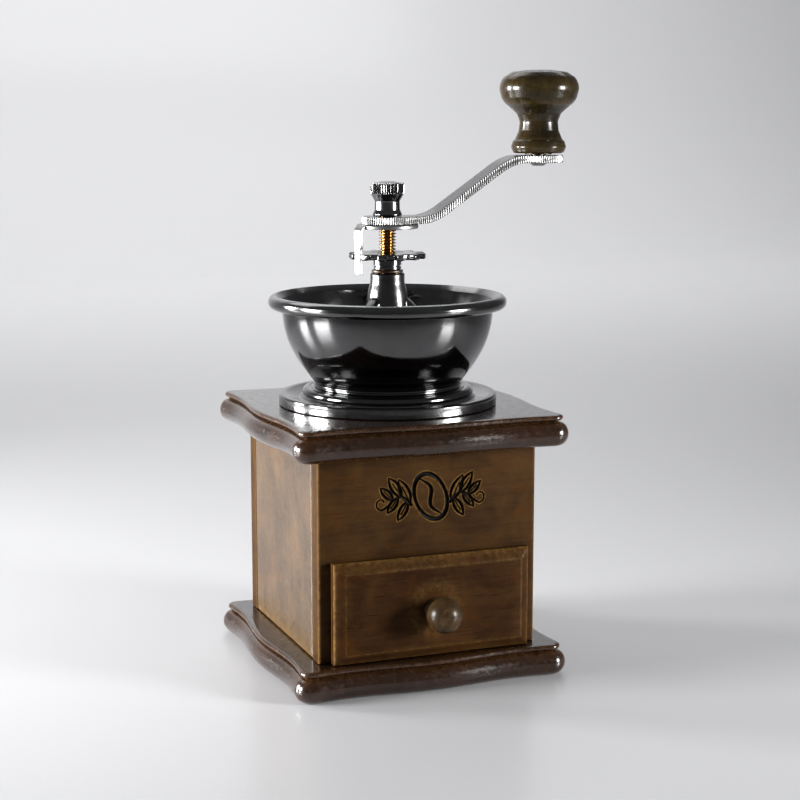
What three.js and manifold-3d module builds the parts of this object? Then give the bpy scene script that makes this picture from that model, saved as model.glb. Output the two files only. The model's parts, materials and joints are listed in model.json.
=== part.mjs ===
// A hand-cranked box coffee mill: wooden case with a drawer, metal hopper bowl, conical burrs and a crank.
// Millimetres, +Z up. The origin is the centre of the base's underside, the drawer opens towards -Y
// and the crank arm points along +X.

import * as THREE from 'three';
import { mergeVertices } from 'three/addons/utils/BufferGeometryUtils.js';
import Module from 'manifold-3d';

const wasm = await Module();
wasm.setup();

// ---------------------------------------------------------------- driving dimensions

const seat = 0.2; // gap between two pieces that bear on each other
const slip = 0.3; // clearance of a piece that slides or drops into another
const running = 0.1; // radial clearance of a turning shaft

const body = { width: 80, height: 70.9, panel: 7 };
const plate = {
  thickness: 10.9,
  overhang: 8,
  cornerRadius: 4,
  wave: 1.1,
  waveLength: 60,
  bead: 2,
  lip: 0.3,
};

const drawer = {
  height: 31.4,
  backRoom: 5,
  wall: 4,
  bottom: 2.8,
  bottomLift: 0.9,
  frontMargin: 4.1,
  frontHeight: 35.2,
  frontEdge: 3.6,
  frontRaise: 2.1,
  bevel: 3.6,
  lift: 0.4,
};
const drawerKnob = { radius: 6.25, neckRadius: 3.6, standOff: 8, dropBelowCentre: 0.7 };
const drawerScrew = { radius: 1.5, headRadius: 3.2, head: 2, shortOfCentre: 1 };

const hopper = {
  flangeMargin: 10.4,
  flangeHeight: 3.8,
  flangeRim: 2,
  dish: 2.2,
  floor: 2.8,
  throatRoom: 0.7,
  bead: 2,
  beadMargin: 2.3,
  beadHeight: 4.4,
  stepHeight: 6.4,
  neckRoom: 0.5,
  neckHeight: 7.4,
  swell: 4.5,
  swellHeight: 6.5,
  steepHeight: 13,
  mouthFlare: 0.3,
  wall: 2,
  mouthRadius: 37.6,
  mouthHeight: 34.1,
  rimRadius: 2.4,
};

const bolt = { radius: 1.95, room: 0.6, count: 3, firstAngle: 90, hex: 7, head: 2.8, nut: 3.2, tail: 1.3 };
const bridge = {
  height: 43.6,
  foot: 3.4,
  legWidth: 5.6,
  leg: 3.4,
  boltRoom: 1.6,
  shoulder: 8,
  hubTopWall: 1.25,
  hubWall: 4.45,
  hubHeight: 21.5,
};
const bushWall = 0.9;

const shaft = {
  radius: 3.75,
  threadRadius: 2.9,
  flats: 4.7,
  topEngagement: 8.4,
  collarDrop: 2.5,
  tail: 1.5,
};
const outerBurr = { radius: 16.2, wall: 2.2, mouthWall: 1.4, taper: 2.6, flange: 2.9, flangeEdge: 2.75 };
const burrHang = { outer: 22.8, waist: 11, inner: 2.7 }; // below the plate, and above the outer burr's foot
const innerBurr = { height: 19, topEdge: 0.9, gap: 0.6, teeth: 14, toothDepth: 0.9, twist: 50 };
const burrWasher = { radius: 6.5, thickness: 1.1 };
const burrNut = { hex: 10, height: 4.5 };
const spring = { wire: 0.7, turns: 6, room: 0.95 };

const thrustWasher = { radius: 5.6, thickness: 0.8 };
const adjuster = {
  bossRadius: 5,
  boss: 3.8,
  radius: 13.7,
  disc: 2.1,
  notches: 12,
  notchDepth: 2.8,
  notchWidth: 4,
};
const clip = {
  rise: 8.6,
  radius: 11,
  thickness: 1.3,
  tab: 1.3,
  tabWidth: 3.3,
  tabReach: 17,
  notchIndex: 6,
};

const crank = {
  radius: 58.8,
  hubRadius: 9,
  endRadius: 9,
  width: 10,
  thickness: 2.7,
  rise: 21,
  slopeFrom: 16,
  slopeTo: 46.9,
  bend: 10,
};
const capNut = { height: 12.2, radius: 6.05, waist: 4.5, foot: 5.2 };

const knob = { height: 29.8, radius: 14.4, neck: 6.9, base: 10, foot: 9, sleeve: 1.8, lift: 0.4 };
const knobPin = {
  radius: 3,
  rivetRadius: 2.3,
  rivetHead: 3.3,
  rivet: 1,
  headRadius: 4.2,
  head: 1.6,
  reach: 19.5,
  room: 1,
};

const baseScrew = { radius: 1.5, headRadius: 3.4, sink: 0.5, headHeight: 2.6, length: 24, inset: 18 };

// ---------------------------------------------------------------- places that follow from them

const panelBase = plate.thickness + seat;
const panelTop = plate.thickness + body.height - seat;
const topPlateBase = plate.thickness + body.height;
const topPlateTop = topPlateBase + plate.thickness;
const inside = body.width / 2 - body.panel; // half width of the room inside the case

const boltCircle = outerBurr.radius + bolt.room + bolt.hex / 2;
const boltBore = bolt.radius + slip;
const burrFlangeRadius = boltCircle + bolt.radius + outerBurr.flangeEdge;
const burrFoot = outerBurr.radius - outerBurr.wall;
const burrThroat = burrFoot - outerBurr.taper;
const burrMouth = outerBurr.radius - outerBurr.mouthWall;
const neckRadius = boltCircle + bolt.hex / 2 + hopper.neckRoom + hopper.wall;
const beadRadius = neckRadius + hopper.beadMargin;
const flangeRadius = beadRadius + hopper.flangeMargin;
const hopperThroat = burrMouth + hopper.throatRoom;

const hopperBase = topPlateTop + seat;
const hopperFloor = hopperBase + hopper.floor;
const bridgeBase = hopperFloor + seat;
const footTop = bridgeBase + bridge.foot;
const hubTop = bridgeBase + bridge.height;
const hubBase = hubTop - bridge.hubHeight;

const thrustBase = hubTop + seat;
const adjusterBase = thrustBase + thrustWasher.thickness + seat;
const discBase = adjusterBase + adjuster.boss;
const discTop = discBase + adjuster.disc;
const clipBase = discTop + clip.rise;
const clipTop = clipBase + clip.thickness;
const armBase = clipTop + seat;
const armTop = armBase + crank.thickness;
const capBase = armTop + seat;
const shaftTop = capBase + shaft.topEngagement;
const armEndBase = armBase + crank.rise;
const armEndTop = armTop + crank.rise;
const sleeveBase = armEndTop + slip;
const knobBase = sleeveBase + knob.lift;

const outerFoot = topPlateTop - burrHang.outer;
const outerWaist = outerFoot + burrHang.waist;
const burrBase = outerFoot + burrHang.inner;
const burrTop = burrBase + innerBurr.height;
const burrWasherBase = burrBase - seat - burrWasher.thickness;
const burrNutBase = burrWasherBase - seat - burrNut.height;
const threadBore = shaft.threadRadius + slip;
const hubBore = shaft.radius + running + bushWall + seat;
const hubTopRadius = hubBore + bridge.hubTopWall;
const hubRadius = hubBore + bridge.hubWall;
const springRadius = shaft.radius + spring.room + spring.wire;
const burrTopRadius = springRadius + spring.wire + innerBurr.topEdge;

const drawerBase = panelBase + drawer.lift;
const drawerTop = drawerBase + drawer.height;
const drawerHalf = inside - slip; // outside half width of the drawer box
const doorway = drawerTop + 3 * slip; // top of the drawer's opening in the front panel
const frontFace = -body.width / 2; // the case's front, in Y
const drawerFrontBack = frontFace - slip;
const drawerDepth = body.width - body.panel - drawer.backRoom;
const drawerFrontCentre = drawerBase + drawer.frontHeight / 2 - slip;

// ---------------------------------------------------------------- colours

const looks = {
  darkWood: { color: 0x4a2517, roughness: 0.35, metalness: 0 },
  bodyWood: { color: 0x5a4022, roughness: 0.38, metalness: 0 },
  drawerWood: { color: 0x61431f, roughness: 0.38, metalness: 0 },
  rawWood: { color: 0xa98352, roughness: 0.7, metalness: 0 },
  knobWood: { color: 0x4b361b, roughness: 0.25, metalness: 0 },
  blackNickel: { color: 0x2b2c2e, roughness: 0.14, metalness: 1 },
  darkChrome: { color: 0x4c4d50, roughness: 0.2, metalness: 1 },
  zincSteel: { color: 0xa7a8a8, roughness: 0.32, metalness: 1 },
  castIron: { color: 0x3c3a38, roughness: 0.6, metalness: 0.9 },
  burrSteel: { color: 0x6e6c69, roughness: 0.4, metalness: 1 },
  brass: { color: 0xb08a45, roughness: 0.3, metalness: 1 },
};

// ---------------------------------------------------------------- solids

function toManifold(geometry) {
  const bare = geometry.index ? geometry.toNonIndexed() : geometry.clone();
  bare.deleteAttribute('normal');
  bare.deleteAttribute('uv');
  const merged = mergeVertices(bare, 1e-5);
  const mesh = new wasm.Mesh({
    numProp: 3,
    vertProperties: Float32Array.from(merged.attributes.position.array),
    triVerts: Uint32Array.from(merged.index.array),
  });
  return new wasm.Manifold(mesh);
}

function toGeometry(solid) {
  const mesh = solid.getMesh();
  const geometry = new THREE.BufferGeometry();
  geometry.setAttribute('position', new THREE.BufferAttribute(Float32Array.from(mesh.vertProperties), 3));
  geometry.setIndex(Array.from(mesh.triVerts));
  geometry.computeVertexNormals();
  return geometry;
}

function cut(geometry, ...tools) {
  return toGeometry(tools.reduce((rest, tool) => rest.subtract(toManifold(tool)), toManifold(geometry)));
}

function join(geometry, ...others) {
  return toGeometry(others.reduce((whole, other) => whole.add(toManifold(other)), toManifold(geometry)));
}

function common(geometry, other) {
  return toGeometry(toManifold(geometry).intersect(toManifold(other)));
}

function block(x0, x1, y0, y1, z0, z1) {
  const geometry = new THREE.BoxGeometry(x1 - x0, y1 - y0, z1 - z0);
  return geometry.translate((x0 + x1) / 2, (y0 + y1) / 2, (z0 + z1) / 2);
}

function rod(radius, z0, z1, sides = 24) {
  const geometry = new THREE.CylinderGeometry(radius, radius, z1 - z0, sides);
  return geometry.rotateX(Math.PI / 2).translate(0, 0, (z0 + z1) / 2);
}

// A hexagonal bar with two of its flats facing +X and -X.
function hexBar(acrossFlats, z0, z1) {
  return rod(acrossFlats / Math.sqrt(3), z0, z1, 6);
}

// Turns [radius, height] points about Z. A hollow profile runs up its outside and down its bore.
function turned(points, sides = 24) {
  const profile = points.map(([r, z]) => new THREE.Vector2(r, z));
  return new THREE.LatheGeometry(profile, sides).rotateX(Math.PI / 2);
}

function ring(inner, outer, z0, z1, sides = 24) {
  return turned([[inner, z0], [outer, z0], [outer, z1], [inner, z1], [inner, z0]], sides);
}

function aroundAxis(radius, degrees, geometry) {
  return geometry.translate(radius, 0, 0).rotateZ(THREE.MathUtils.degToRad(degrees));
}

// A closed skin through rings of equal length, with flat ends.
function loft(rings) {
  const count = rings[0].length;
  const positions = rings.flat().flatMap((p) => [p.x, p.y, p.z]);
  const index = [];
  for (let k = 0; k < rings.length - 1; k += 1) {
    for (let i = 0; i < count; i += 1) {
      const a = k * count + i;
      const b = k * count + ((i + 1) % count);
      index.push(a, b, b + count, a, b + count, a + count);
    }
  }
  const lastRing = (rings.length - 1) * count;
  const outline = rings[0].map((p) => new THREE.Vector2(p.x, p.y));
  for (const [a, b, c] of THREE.ShapeUtils.triangulateShape(outline, [])) {
    index.push(a, c, b);
    index.push(lastRing + a, lastRing + b, lastRing + c);
  }
  const geometry = new THREE.BufferGeometry();
  geometry.setAttribute('position', new THREE.Float32BufferAttribute(positions, 3));
  geometry.setIndex(index);
  return geometry;
}

// A round bar flattened on two sides, which keys the spindle into what it drives.
function keyedBar(radius, flats, z0, z1) {
  return common(rod(radius, z0, z1), block(-flats / 2, flats / 2, -radius, radius, z0 - 1, z1 + 1));
}

const group = new THREE.Group();

function place(name, look, geometry, parent = group) {
  const mesh = new THREE.Mesh(geometry, new THREE.MeshStandardMaterial(looks[look]));
  mesh.name = name;
  parent.add(mesh);
  return mesh;
}

function eachBolt(make) {
  for (let i = 0; i < bolt.count; i += 1) make(i + 1, bolt.firstAngle + (360 / bolt.count) * i);
}

// ---------------------------------------------------------------- case

// The wavy square outline of both moulded plates, pushed out by a distance.
function plateOutline(push, z) {
  const half = body.width / 2 + plate.overhang;
  const flat = half - plate.cornerRadius;
  const waveAt = (s) => plate.wave * Math.cos((2 * Math.PI * s) / plate.waveLength);
  const stations = 10;
  const points = [];
  for (let side = 0; side < 4; side += 1) {
    const turn = (side * Math.PI) / 2;
    for (let i = 0; i <= stations; i += 1) {
      const s = flat * ((2 * i) / stations - 1);
      const reach = half + waveAt(s) - waveAt(flat) + push;
      points.push(new THREE.Vector3(reach, s, z).applyAxisAngle(new THREE.Vector3(0, 0, 1), turn));
    }
    for (const angle of [30, 60]) {
      const a = THREE.MathUtils.degToRad(angle);
      const r = plate.cornerRadius + push;
      const corner = new THREE.Vector3(flat + r * Math.cos(a), flat + r * Math.sin(a), z);
      points.push(corner.applyAxisAngle(new THREE.Vector3(0, 0, 1), turn));
    }
  }
  return points;
}

// Section of the moulded edge: a fat half-round bead below, a fine groove, and a thin lip on top.
function mouldedPlate(base) {
  const t = plate.thickness;
  const { bead, lip } = plate;
  const section = [
    [lip, 0], [0.62 * bead, 0.12 * t], [bead, 0.4 * t], [0.7 * bead, 0.7 * t],
    [-lip, 0.82 * t], [0, 0.9 * t], [-lip, t],
  ];
  return loft(section.map(([push, z]) => plateOutline(push, base + z)));
}

function screwSpots() {
  const x = body.width / 2 - body.panel / 2;
  return [[-x, -baseScrew.inset], [x, -baseScrew.inset], [-x, baseScrew.inset], [x, baseScrew.inset]];
}

function countersunk(grow) {
  const head = baseScrew.headRadius + grow;
  const shank = baseScrew.radius + grow;
  const low = grow ? -1 : baseScrew.sink;
  const neck = baseScrew.sink + baseScrew.headHeight;
  const tip = baseScrew.length + grow;
  const headTop = baseScrew.sink + grow;
  return [[0, low], [head, low], [head, headTop], [shank, neck + grow], [shank, tip], [0, tip]];
}

function bottomPlate() {
  const holes = screwSpots().map(([x, y]) => turned(countersunk(slip), 16).translate(x, y, 0));
  return cut(mouldedPlate(0), ...holes);
}

function topPlate() {
  const tools = [rod(outerBurr.radius + slip, topPlateBase - 1, topPlateTop + 1, 32)];
  tools.push(rod(burrFlangeRadius + slip, topPlateTop - outerBurr.flange - seat, topPlateTop + 1, 32));
  eachBolt((n, angle) => {
    tools.push(aroundAxis(boltCircle, angle, rod(boltBore, topPlateBase - 1, topPlateTop + 1, 12)));
  });
  return cut(mouldedPlate(topPlateBase), ...tools);
}

function frontPanel() {
  const half = body.width / 2;
  const panel = block(-half, half, frontFace, frontFace + body.panel, panelBase, panelTop);
  const opening = block(-inside, inside, frontFace - 1, frontFace + body.panel + 1, 0, doorway);
  return cut(panel, opening);
}

function backPanel() {
  const half = body.width / 2;
  return block(-half, half, half - body.panel, half, panelBase, panelTop);
}

function sidePanel(sign) {
  const [x0, x1] = [inside, body.width / 2].map((x) => sign * x).sort((a, b) => a - b);
  const panel = block(x0, x1, -inside + seat, inside - seat, panelBase, panelTop);
  const pilots = screwSpots().map(([x, y]) => turned(countersunk(slip), 16).translate(x, y, 0));
  return cut(panel, ...pilots);
}

function buildCase() {
  place('bottom_plate', 'darkWood', bottomPlate());
  place('top_plate', 'darkWood', topPlate());
  place('front_panel', 'bodyWood', frontPanel());
  place('back_panel', 'bodyWood', backPanel());
  place('left_panel', 'bodyWood', sidePanel(-1));
  place('right_panel', 'bodyWood', sidePanel(1));
  screwSpots().forEach(([x, y], i) => {
    place(`base_screw_${i + 1}`, 'zincSteel', turned(countersunk(0), 16)).position.set(x, y, 0);
  });
}

// ---------------------------------------------------------------- drawer

function rectangle(halfWidth, low, high, y) {
  const corners = [[-halfWidth, low], [halfWidth, low], [halfWidth, high], [-halfWidth, high]];
  return corners.map(([x, z]) => new THREE.Vector3(x, z, -y));
}

// The overlay front: a flat block whose face rises inside a wide bevel.
function drawerFront() {
  const half = body.width / 2 - drawer.frontMargin;
  const low = drawerFrontCentre - drawer.frontHeight / 2;
  const high = drawerFrontCentre + drawer.frontHeight / 2;
  const edge = drawerFrontBack - drawer.frontEdge;
  const face = edge - drawer.frontRaise;
  const inner = rectangle(half - drawer.bevel, low + drawer.bevel, high - drawer.bevel, face);
  const slab = loft([rectangle(half, low, high, drawerFrontBack), rectangle(half, low, high, edge), inner]);
  const screwHole = rod(drawerScrew.radius + slip, -drawerFrontBack - 1, -face + 1, 12);
  return cut(slab, screwHole.translate(0, drawerKnobHeight(), 0)).rotateX(Math.PI / 2);
}

function drawerKnobHeight() {
  return drawerFrontCentre - drawerKnob.dropBelowCentre;
}

// The mushroom knob, turned about Z with its foot at 0.
function drawerKnobShape() {
  const { radius, neckRadius, standOff } = drawerKnob;
  const bore = drawerScrew.radius + slip;
  const profile = [[0, standOff], [bore, standOff], [bore, 0], [neckRadius, 0]];
  for (const angle of [-58, -35, -10, 15, 40, 65]) {
    const a = THREE.MathUtils.degToRad(angle);
    profile.push([radius * Math.cos(a), standOff + radius * Math.sin(a)]);
  }
  profile.push([0, standOff + radius]);
  return turned(profile);
}

function drawerScrewShape(headBack) {
  const { radius, headRadius, head, shortOfCentre } = drawerScrew;
  const tip = drawerKnob.standOff - shortOfCentre;
  return turned([[0, headBack - head], [0.9 * headRadius, headBack - head], [headRadius, headBack],
    [radius, headBack], [radius, tip], [0, tip]], 16);
}

function buildDrawer() {
  const back = drawerFrontBack + slip + drawerDepth;
  const front = drawerFrontBack + slip;
  const inner = drawerHalf - drawer.wall;
  const floorBase = drawerBase + drawer.bottomLift;
  const floorTop = floorBase + drawer.bottom;
  place('drawer_front', 'drawerWood', drawerFront());
  place('drawer_left', 'rawWood', block(-drawerHalf, -inner, front, back, drawerBase, drawerTop));
  place('drawer_right', 'rawWood', block(inner, drawerHalf, front, back, drawerBase, drawerTop));
  place('drawer_back', 'rawWood',
    block(-inner + seat, inner - seat, back - drawer.wall, back, floorTop + seat, drawerTop));
  place('drawer_bottom', 'rawWood', block(-inner + seat, inner - seat, front, back, floorBase, floorTop));
  const turn = Math.PI / 2;
  const face = drawerFrontBack - drawer.frontEdge - drawer.frontRaise;
  const foot = face - seat;
  const pull = place('drawer_knob', 'knobWood', drawerKnobShape());
  const headBack = -(drawerFrontBack + seat - foot);
  const screw = place('drawer_knob_screw', 'zincSteel', drawerScrewShape(headBack));
  for (const piece of [pull, screw]) {
    piece.rotation.x = turn;
    piece.position.set(0, foot, drawerKnobHeight());
  }
}

// ---------------------------------------------------------------- hopper and bearing bridge

// Outside line of the bowl's wall, from its neck to its mouth.
function bowlWall() {
  const neck = new THREE.Vector2(neckRadius, hopperBase + hopper.neckHeight);
  const mouth = new THREE.Vector2(hopper.mouthRadius, hopperBase + hopper.mouthHeight);
  const out = new THREE.Vector2(neck.x + hopper.swell, neck.y + hopper.swellHeight);
  const up = new THREE.Vector2(mouth.x - hopper.mouthFlare, mouth.y - hopper.steepHeight);
  return new THREE.CubicBezierCurve(neck, out, up, mouth).getPoints(9).map((p) => [p.x, p.y]);
}

function hopperBowl() {
  const base = hopperBase;
  const { flangeHeight, flangeRim, dish, bead, beadHeight, stepHeight, wall, rimRadius } = hopper;
  const outside = bowlWall();
  const inner = outside.map(([r, z]) => [r - wall, z]).reverse();
  const rimCentre = [hopper.mouthRadius + rimRadius + seat / 2, base + hopper.mouthHeight + rimRadius];
  const rim = [-80, -35, 0, 35, 80].map((angle) => {
    const a = THREE.MathUtils.degToRad(angle);
    return [rimCentre[0] + rimRadius * Math.cos(a), rimCentre[1] + rimRadius * Math.sin(a)];
  });
  const foot = [[hopperThroat, base], [flangeRadius, base], [flangeRadius, base + flangeHeight],
    [flangeRadius - flangeRim, base + flangeHeight], [beadRadius + bead, base + dish],
    [beadRadius + bead, base + beadHeight], [beadRadius + bead / 4, base + beadHeight + 0.8 * bead],
    [neckRadius - seat, base + stepHeight]];
  const lip = [[hopper.mouthRadius + 0.3, base + hopper.mouthHeight + 1.5 * rimRadius]];
  const floor = [[neckRadius - wall, base + hopper.floor], [hopperThroat, base + hopper.floor]];
  const shell = turned([...foot, ...outside, ...rim, ...lip, ...inner, ...floor, foot[0]], 36);
  const holes = [];
  eachBolt((n, angle) => holes.push(aroundAxis(boltCircle, angle, rod(boltBore, base - 1, footTop, 12))));
  return cut(shell, ...holes);
}

// One leg of the bridge, drawn in its [radius, height] plane: hub, straight leg and a foot turned outwards.
function bridgeLeg(angle) {
  const { shoulder } = bridge;
  const legOut = boltCircle - bolt.hex / 2 - bridge.boltRoom;
  const legIn = legOut - bridge.leg;
  const toe = boltCircle + bolt.hex / 2 - 0.3;
  const shape = new THREE.Shape();
  const root = hubBore + hubTopRadius;
  shape.moveTo(root / 2, hubBase + 1);
  shape.lineTo(hubRadius - 1, hubBase + 1);
  shape.quadraticCurveTo(legIn, hubBase, legIn, hubBase - shoulder);
  shape.lineTo(legIn, bridgeBase);
  shape.lineTo(toe, bridgeBase);
  shape.lineTo(toe, footTop);
  shape.lineTo(legOut, footTop);
  shape.lineTo(legOut, hubBase);
  shape.quadraticCurveTo(legOut, hubBase + shoulder, hubTopRadius, hubTop - shoulder);
  shape.lineTo(root / 2, hubTop - shoulder);
  shape.closePath();
  const options = { depth: bridge.legWidth, bevelEnabled: false, curveSegments: 4 };
  const leg = new THREE.ExtrudeGeometry(shape, options);
  leg.translate(0, 0, -bridge.legWidth / 2).rotateX(Math.PI / 2);
  return leg.rotateZ(THREE.MathUtils.degToRad(angle));
}

function bearingBridge() {
  const hub = turned([[0, hubBase], [hubRadius - 1, hubBase], [hubRadius, hubBase + 3],
    [hubTopRadius + 0.6, hubTop - 5], [hubTopRadius, hubTop - 3], [hubTopRadius, hubTop], [0, hubTop]]);
  const legs = [];
  const holes = [rod(hubBore, hubBase - 1, hubTop + 1)];
  eachBolt((n, angle) => {
    legs.push(bridgeLeg(angle));
    holes.push(aroundAxis(boltCircle, angle, rod(boltBore, bridgeBase - 1, footTop + 1, 12)));
  });
  return cut(join(hub, ...legs), ...holes);
}

function bridgeBolt() {
  const head = hexBar(bolt.hex, footTop + seat, footTop + seat + bolt.head);
  return join(head, rod(bolt.radius, topPlateBase - seat - bolt.nut - bolt.tail, footTop + 1, 12));
}

function bridgeNut() {
  const low = topPlateBase - seat - bolt.nut;
  return cut(hexBar(bolt.hex, low, low + bolt.nut), rod(boltBore, low - 1, topPlateBase, 12));
}

function buildHopper() {
  place('hopper_bowl', 'blackNickel', hopperBowl());
  place('bearing_bridge', 'castIron', bearingBridge());
  const bushBore = shaft.radius + running;
  place('shaft_bush', 'brass', ring(bushBore, bushBore + bushWall, hubBase + seat, hubTop - seat));
  eachBolt((n, angle) => {
    place(`bridge_bolt_${n}`, 'zincSteel', aroundAxis(boltCircle, angle, bridgeBolt()));
    place(`bridge_nut_${n}`, 'zincSteel', aroundAxis(boltCircle, angle, bridgeNut()));
  });
}

// ---------------------------------------------------------------- burrs and spindle

function outerBurrShape() {
  const top = topPlateTop - seat / 2;
  const shelf = topPlateTop - outerBurr.flange;
  const { radius } = outerBurr;
  const shell = turned([
    [burrFoot, outerFoot], [radius, outerFoot], [radius, shelf], [burrFlangeRadius, shelf],
    [burrFlangeRadius, top], [burrMouth, top], [burrThroat, outerWaist], [burrFoot, outerFoot],
  ], 28);
  const holes = [];
  eachBolt((n, angle) => holes.push(aroundAxis(boltCircle, angle, rod(boltBore, shelf - 1, top + 1, 12))));
  return cut(shell, ...holes);
}

// A toothed cone whose ridges wind round it.
function innerBurrShape() {
  const slope = (burrFoot - burrThroat) / (outerWaist - outerFoot);
  const footRadius = burrFoot - slope * (burrBase - outerFoot) - innerBurr.gap;
  const levels = 5;
  const rings = [];
  for (let k = 0; k < levels; k += 1) {
    const t = k / (levels - 1);
    const radius = THREE.MathUtils.lerp(footRadius, burrTopRadius, t);
    const twist = THREE.MathUtils.degToRad(innerBurr.twist) * t;
    const points = [];
    for (let i = 0; i < innerBurr.teeth * 2; i += 1) {
      const a = (Math.PI * i) / innerBurr.teeth + twist;
      const r = radius - (i % 2 ? innerBurr.toothDepth : 0);
      points.push(new THREE.Vector3(r * Math.cos(a), r * Math.sin(a), burrBase + innerBurr.height * t));
    }
    rings.push(points);
  }
  return cut(loft(rings), keyedBar(threadBore, shaft.flats + 2 * slip, burrBase - 1, burrTop + 1));
}

function spindleShaft() {
  const { radius, threadRadius, flats, collarDrop } = shaft;
  const foot = burrNutBase - shaft.tail;
  const shank = rod(radius, burrTop + seat, hubTop - collarDrop);
  const thread = rod(threadRadius, hubTop - collarDrop - 1, clipBase - seat);
  const upper = keyedBar(threadRadius, flats, clipBase - seat - 1, shaftTop);
  const lower = keyedBar(threadRadius, flats, foot, burrTop + seat + 1);
  return join(shank, thread, upper, lower);
}

// The spring's wire as a loft along a helix between two heights.
function burrSpring() {
  const low = burrTop + seat + spring.wire + slip;
  const high = hubBase - seat - spring.wire - slip;
  const stepsPerTurn = 10;
  const sides = 5;
  const steps = spring.turns * stepsPerTurn;
  const rings = [];
  for (let k = 0; k <= steps; k += 1) {
    const turn = (2 * Math.PI * k) / stepsPerTurn;
    const z = THREE.MathUtils.lerp(low, high, k / steps);
    const points = [];
    for (let i = 0; i < sides; i += 1) {
      const a = (-2 * Math.PI * i) / sides;
      const r = springRadius + spring.wire * Math.cos(a);
      points.push(new THREE.Vector3(r * Math.cos(turn), r * Math.sin(turn), z + spring.wire * Math.sin(a)));
    }
    rings.push(points);
  }
  return wireSkin(rings);
}

// Closes rings that stand upright, fanning each end from its first point.
function wireSkin(rings) {
  const count = rings[0].length;
  const skin = loft(rings);
  const sideTriangles = (rings.length - 1) * count * 2;
  const index = Array.from(skin.index.array).slice(0, sideTriangles * 3);
  const last = (rings.length - 1) * count;
  for (let i = 1; i < count - 1; i += 1) {
    index.push(0, i + 1, i);
    index.push(last, last + i, last + i + 1);
  }
  skin.setIndex(index);
  return skin;
}

function adjustingNut() {
  const { radius, notches, notchDepth, notchWidth } = adjuster;
  const disc = ring(threadBore, radius, discBase, discTop, 48);
  const boss = ring(threadBore, adjuster.bossRadius, adjusterBase, discTop);
  const slots = [];
  for (let i = 0; i < notches; i += 1) {
    const slot = block(-notchDepth, 2, -notchWidth / 2, notchWidth / 2, discBase - 1, discTop + 1);
    slots.push(aroundAxis(radius, notchAngle(i), slot));
  }
  return cut(join(disc, boss), ...slots);
}

function notchAngle(index) {
  return (360 / adjuster.notches) * (index + 0.5);
}

// A round plate with one strip bent down, whose end drops into a notch of the adjusting nut.
function lockClip() {
  const tabOut = adjuster.radius - 2 * slip;
  const tabIn = tabOut - clip.tab;
  const { tabWidth, tabReach, radius, thickness } = clip;
  const strip = block(radius - 3, tabOut, -tabWidth / 2, tabWidth / 2, clipBase, clipTop);
  const tab = block(tabIn, tabOut, -tabWidth / 2, tabWidth / 2, clipTop - tabReach, clipTop);
  const angle = notchAngle(clip.notchIndex);
  const plateAndTab = join(rod(radius, clipBase, clipBase + thickness), aroundAxis(0, angle, strip),
    aroundAxis(0, angle, tab));
  return cut(plateAndTab, keyedBar(threadBore, shaft.flats + 2 * slip, clipBase - 1, clipTop + 1));
}

function buildMechanism() {
  place('outer_burr', 'burrSteel', outerBurrShape());
  place('inner_burr', 'burrSteel', innerBurrShape());
  place('spindle_shaft', 'brass', spindleShaft());
  place('burr_spring', 'zincSteel', burrSpring());
  place('burr_washer', 'zincSteel',
    ring(threadBore, burrWasher.radius, burrWasherBase, burrWasherBase + burrWasher.thickness));
  const nut = hexBar(burrNut.hex, burrNutBase, burrNutBase + burrNut.height);
  place('burr_nut', 'zincSteel', cut(nut, rod(threadBore, burrNutBase - 1, burrWasherBase)));
  place('thrust_washer', 'brass',
    ring(threadBore + seat, thrustWasher.radius, thrustBase, thrustBase + thrustWasher.thickness));
  place('adjusting_nut', 'darkChrome', adjustingNut());
  place('lock_clip', 'zincSteel', lockClip());
}

// ---------------------------------------------------------------- crank and knob

// Height of the arm's middle line above its hub: level, one slope with eased bends, level again.
function armRise(x) {
  const eased = (t) => {
    if (t < -crank.bend / 2) return 0;
    return t > crank.bend / 2 ? t : (t + crank.bend / 2) ** 2 / (2 * crank.bend);
  };
  const grade = crank.rise / (crank.slopeTo - crank.slopeFrom);
  return grade * (eased(x - crank.slopeFrom) - eased(x - crank.slopeTo));
}

function armSide() {
  const stations = [-crank.hubRadius - 1, 0];
  for (const bend of [crank.slopeFrom, crank.slopeTo]) {
    for (const t of [-0.5, -0.25, 0, 0.25, 0.5]) stations.push(bend + t * crank.bend);
  }
  stations.push(crank.radius + crank.endRadius + 1);
  const upper = [];
  const lower = [];
  for (const x of stations) {
    const slope = (armRise(x + 0.01) - armRise(x - 0.01)) / 0.02;
    const halfHeight = (crank.thickness / 2) * Math.hypot(1, slope);
    const middle = (armBase + armTop) / 2 + armRise(x);
    upper.push(new THREE.Vector2(x, middle + halfHeight));
    lower.push(new THREE.Vector2(x, middle - halfHeight));
  }
  const shape = new THREE.Shape([...lower, ...upper.reverse()]);
  const depth = 4 * crank.hubRadius;
  const side = new THREE.ExtrudeGeometry(shape, { depth, bevelEnabled: false });
  return side.translate(0, 0, -depth / 2).rotateX(Math.PI / 2);
}

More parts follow.
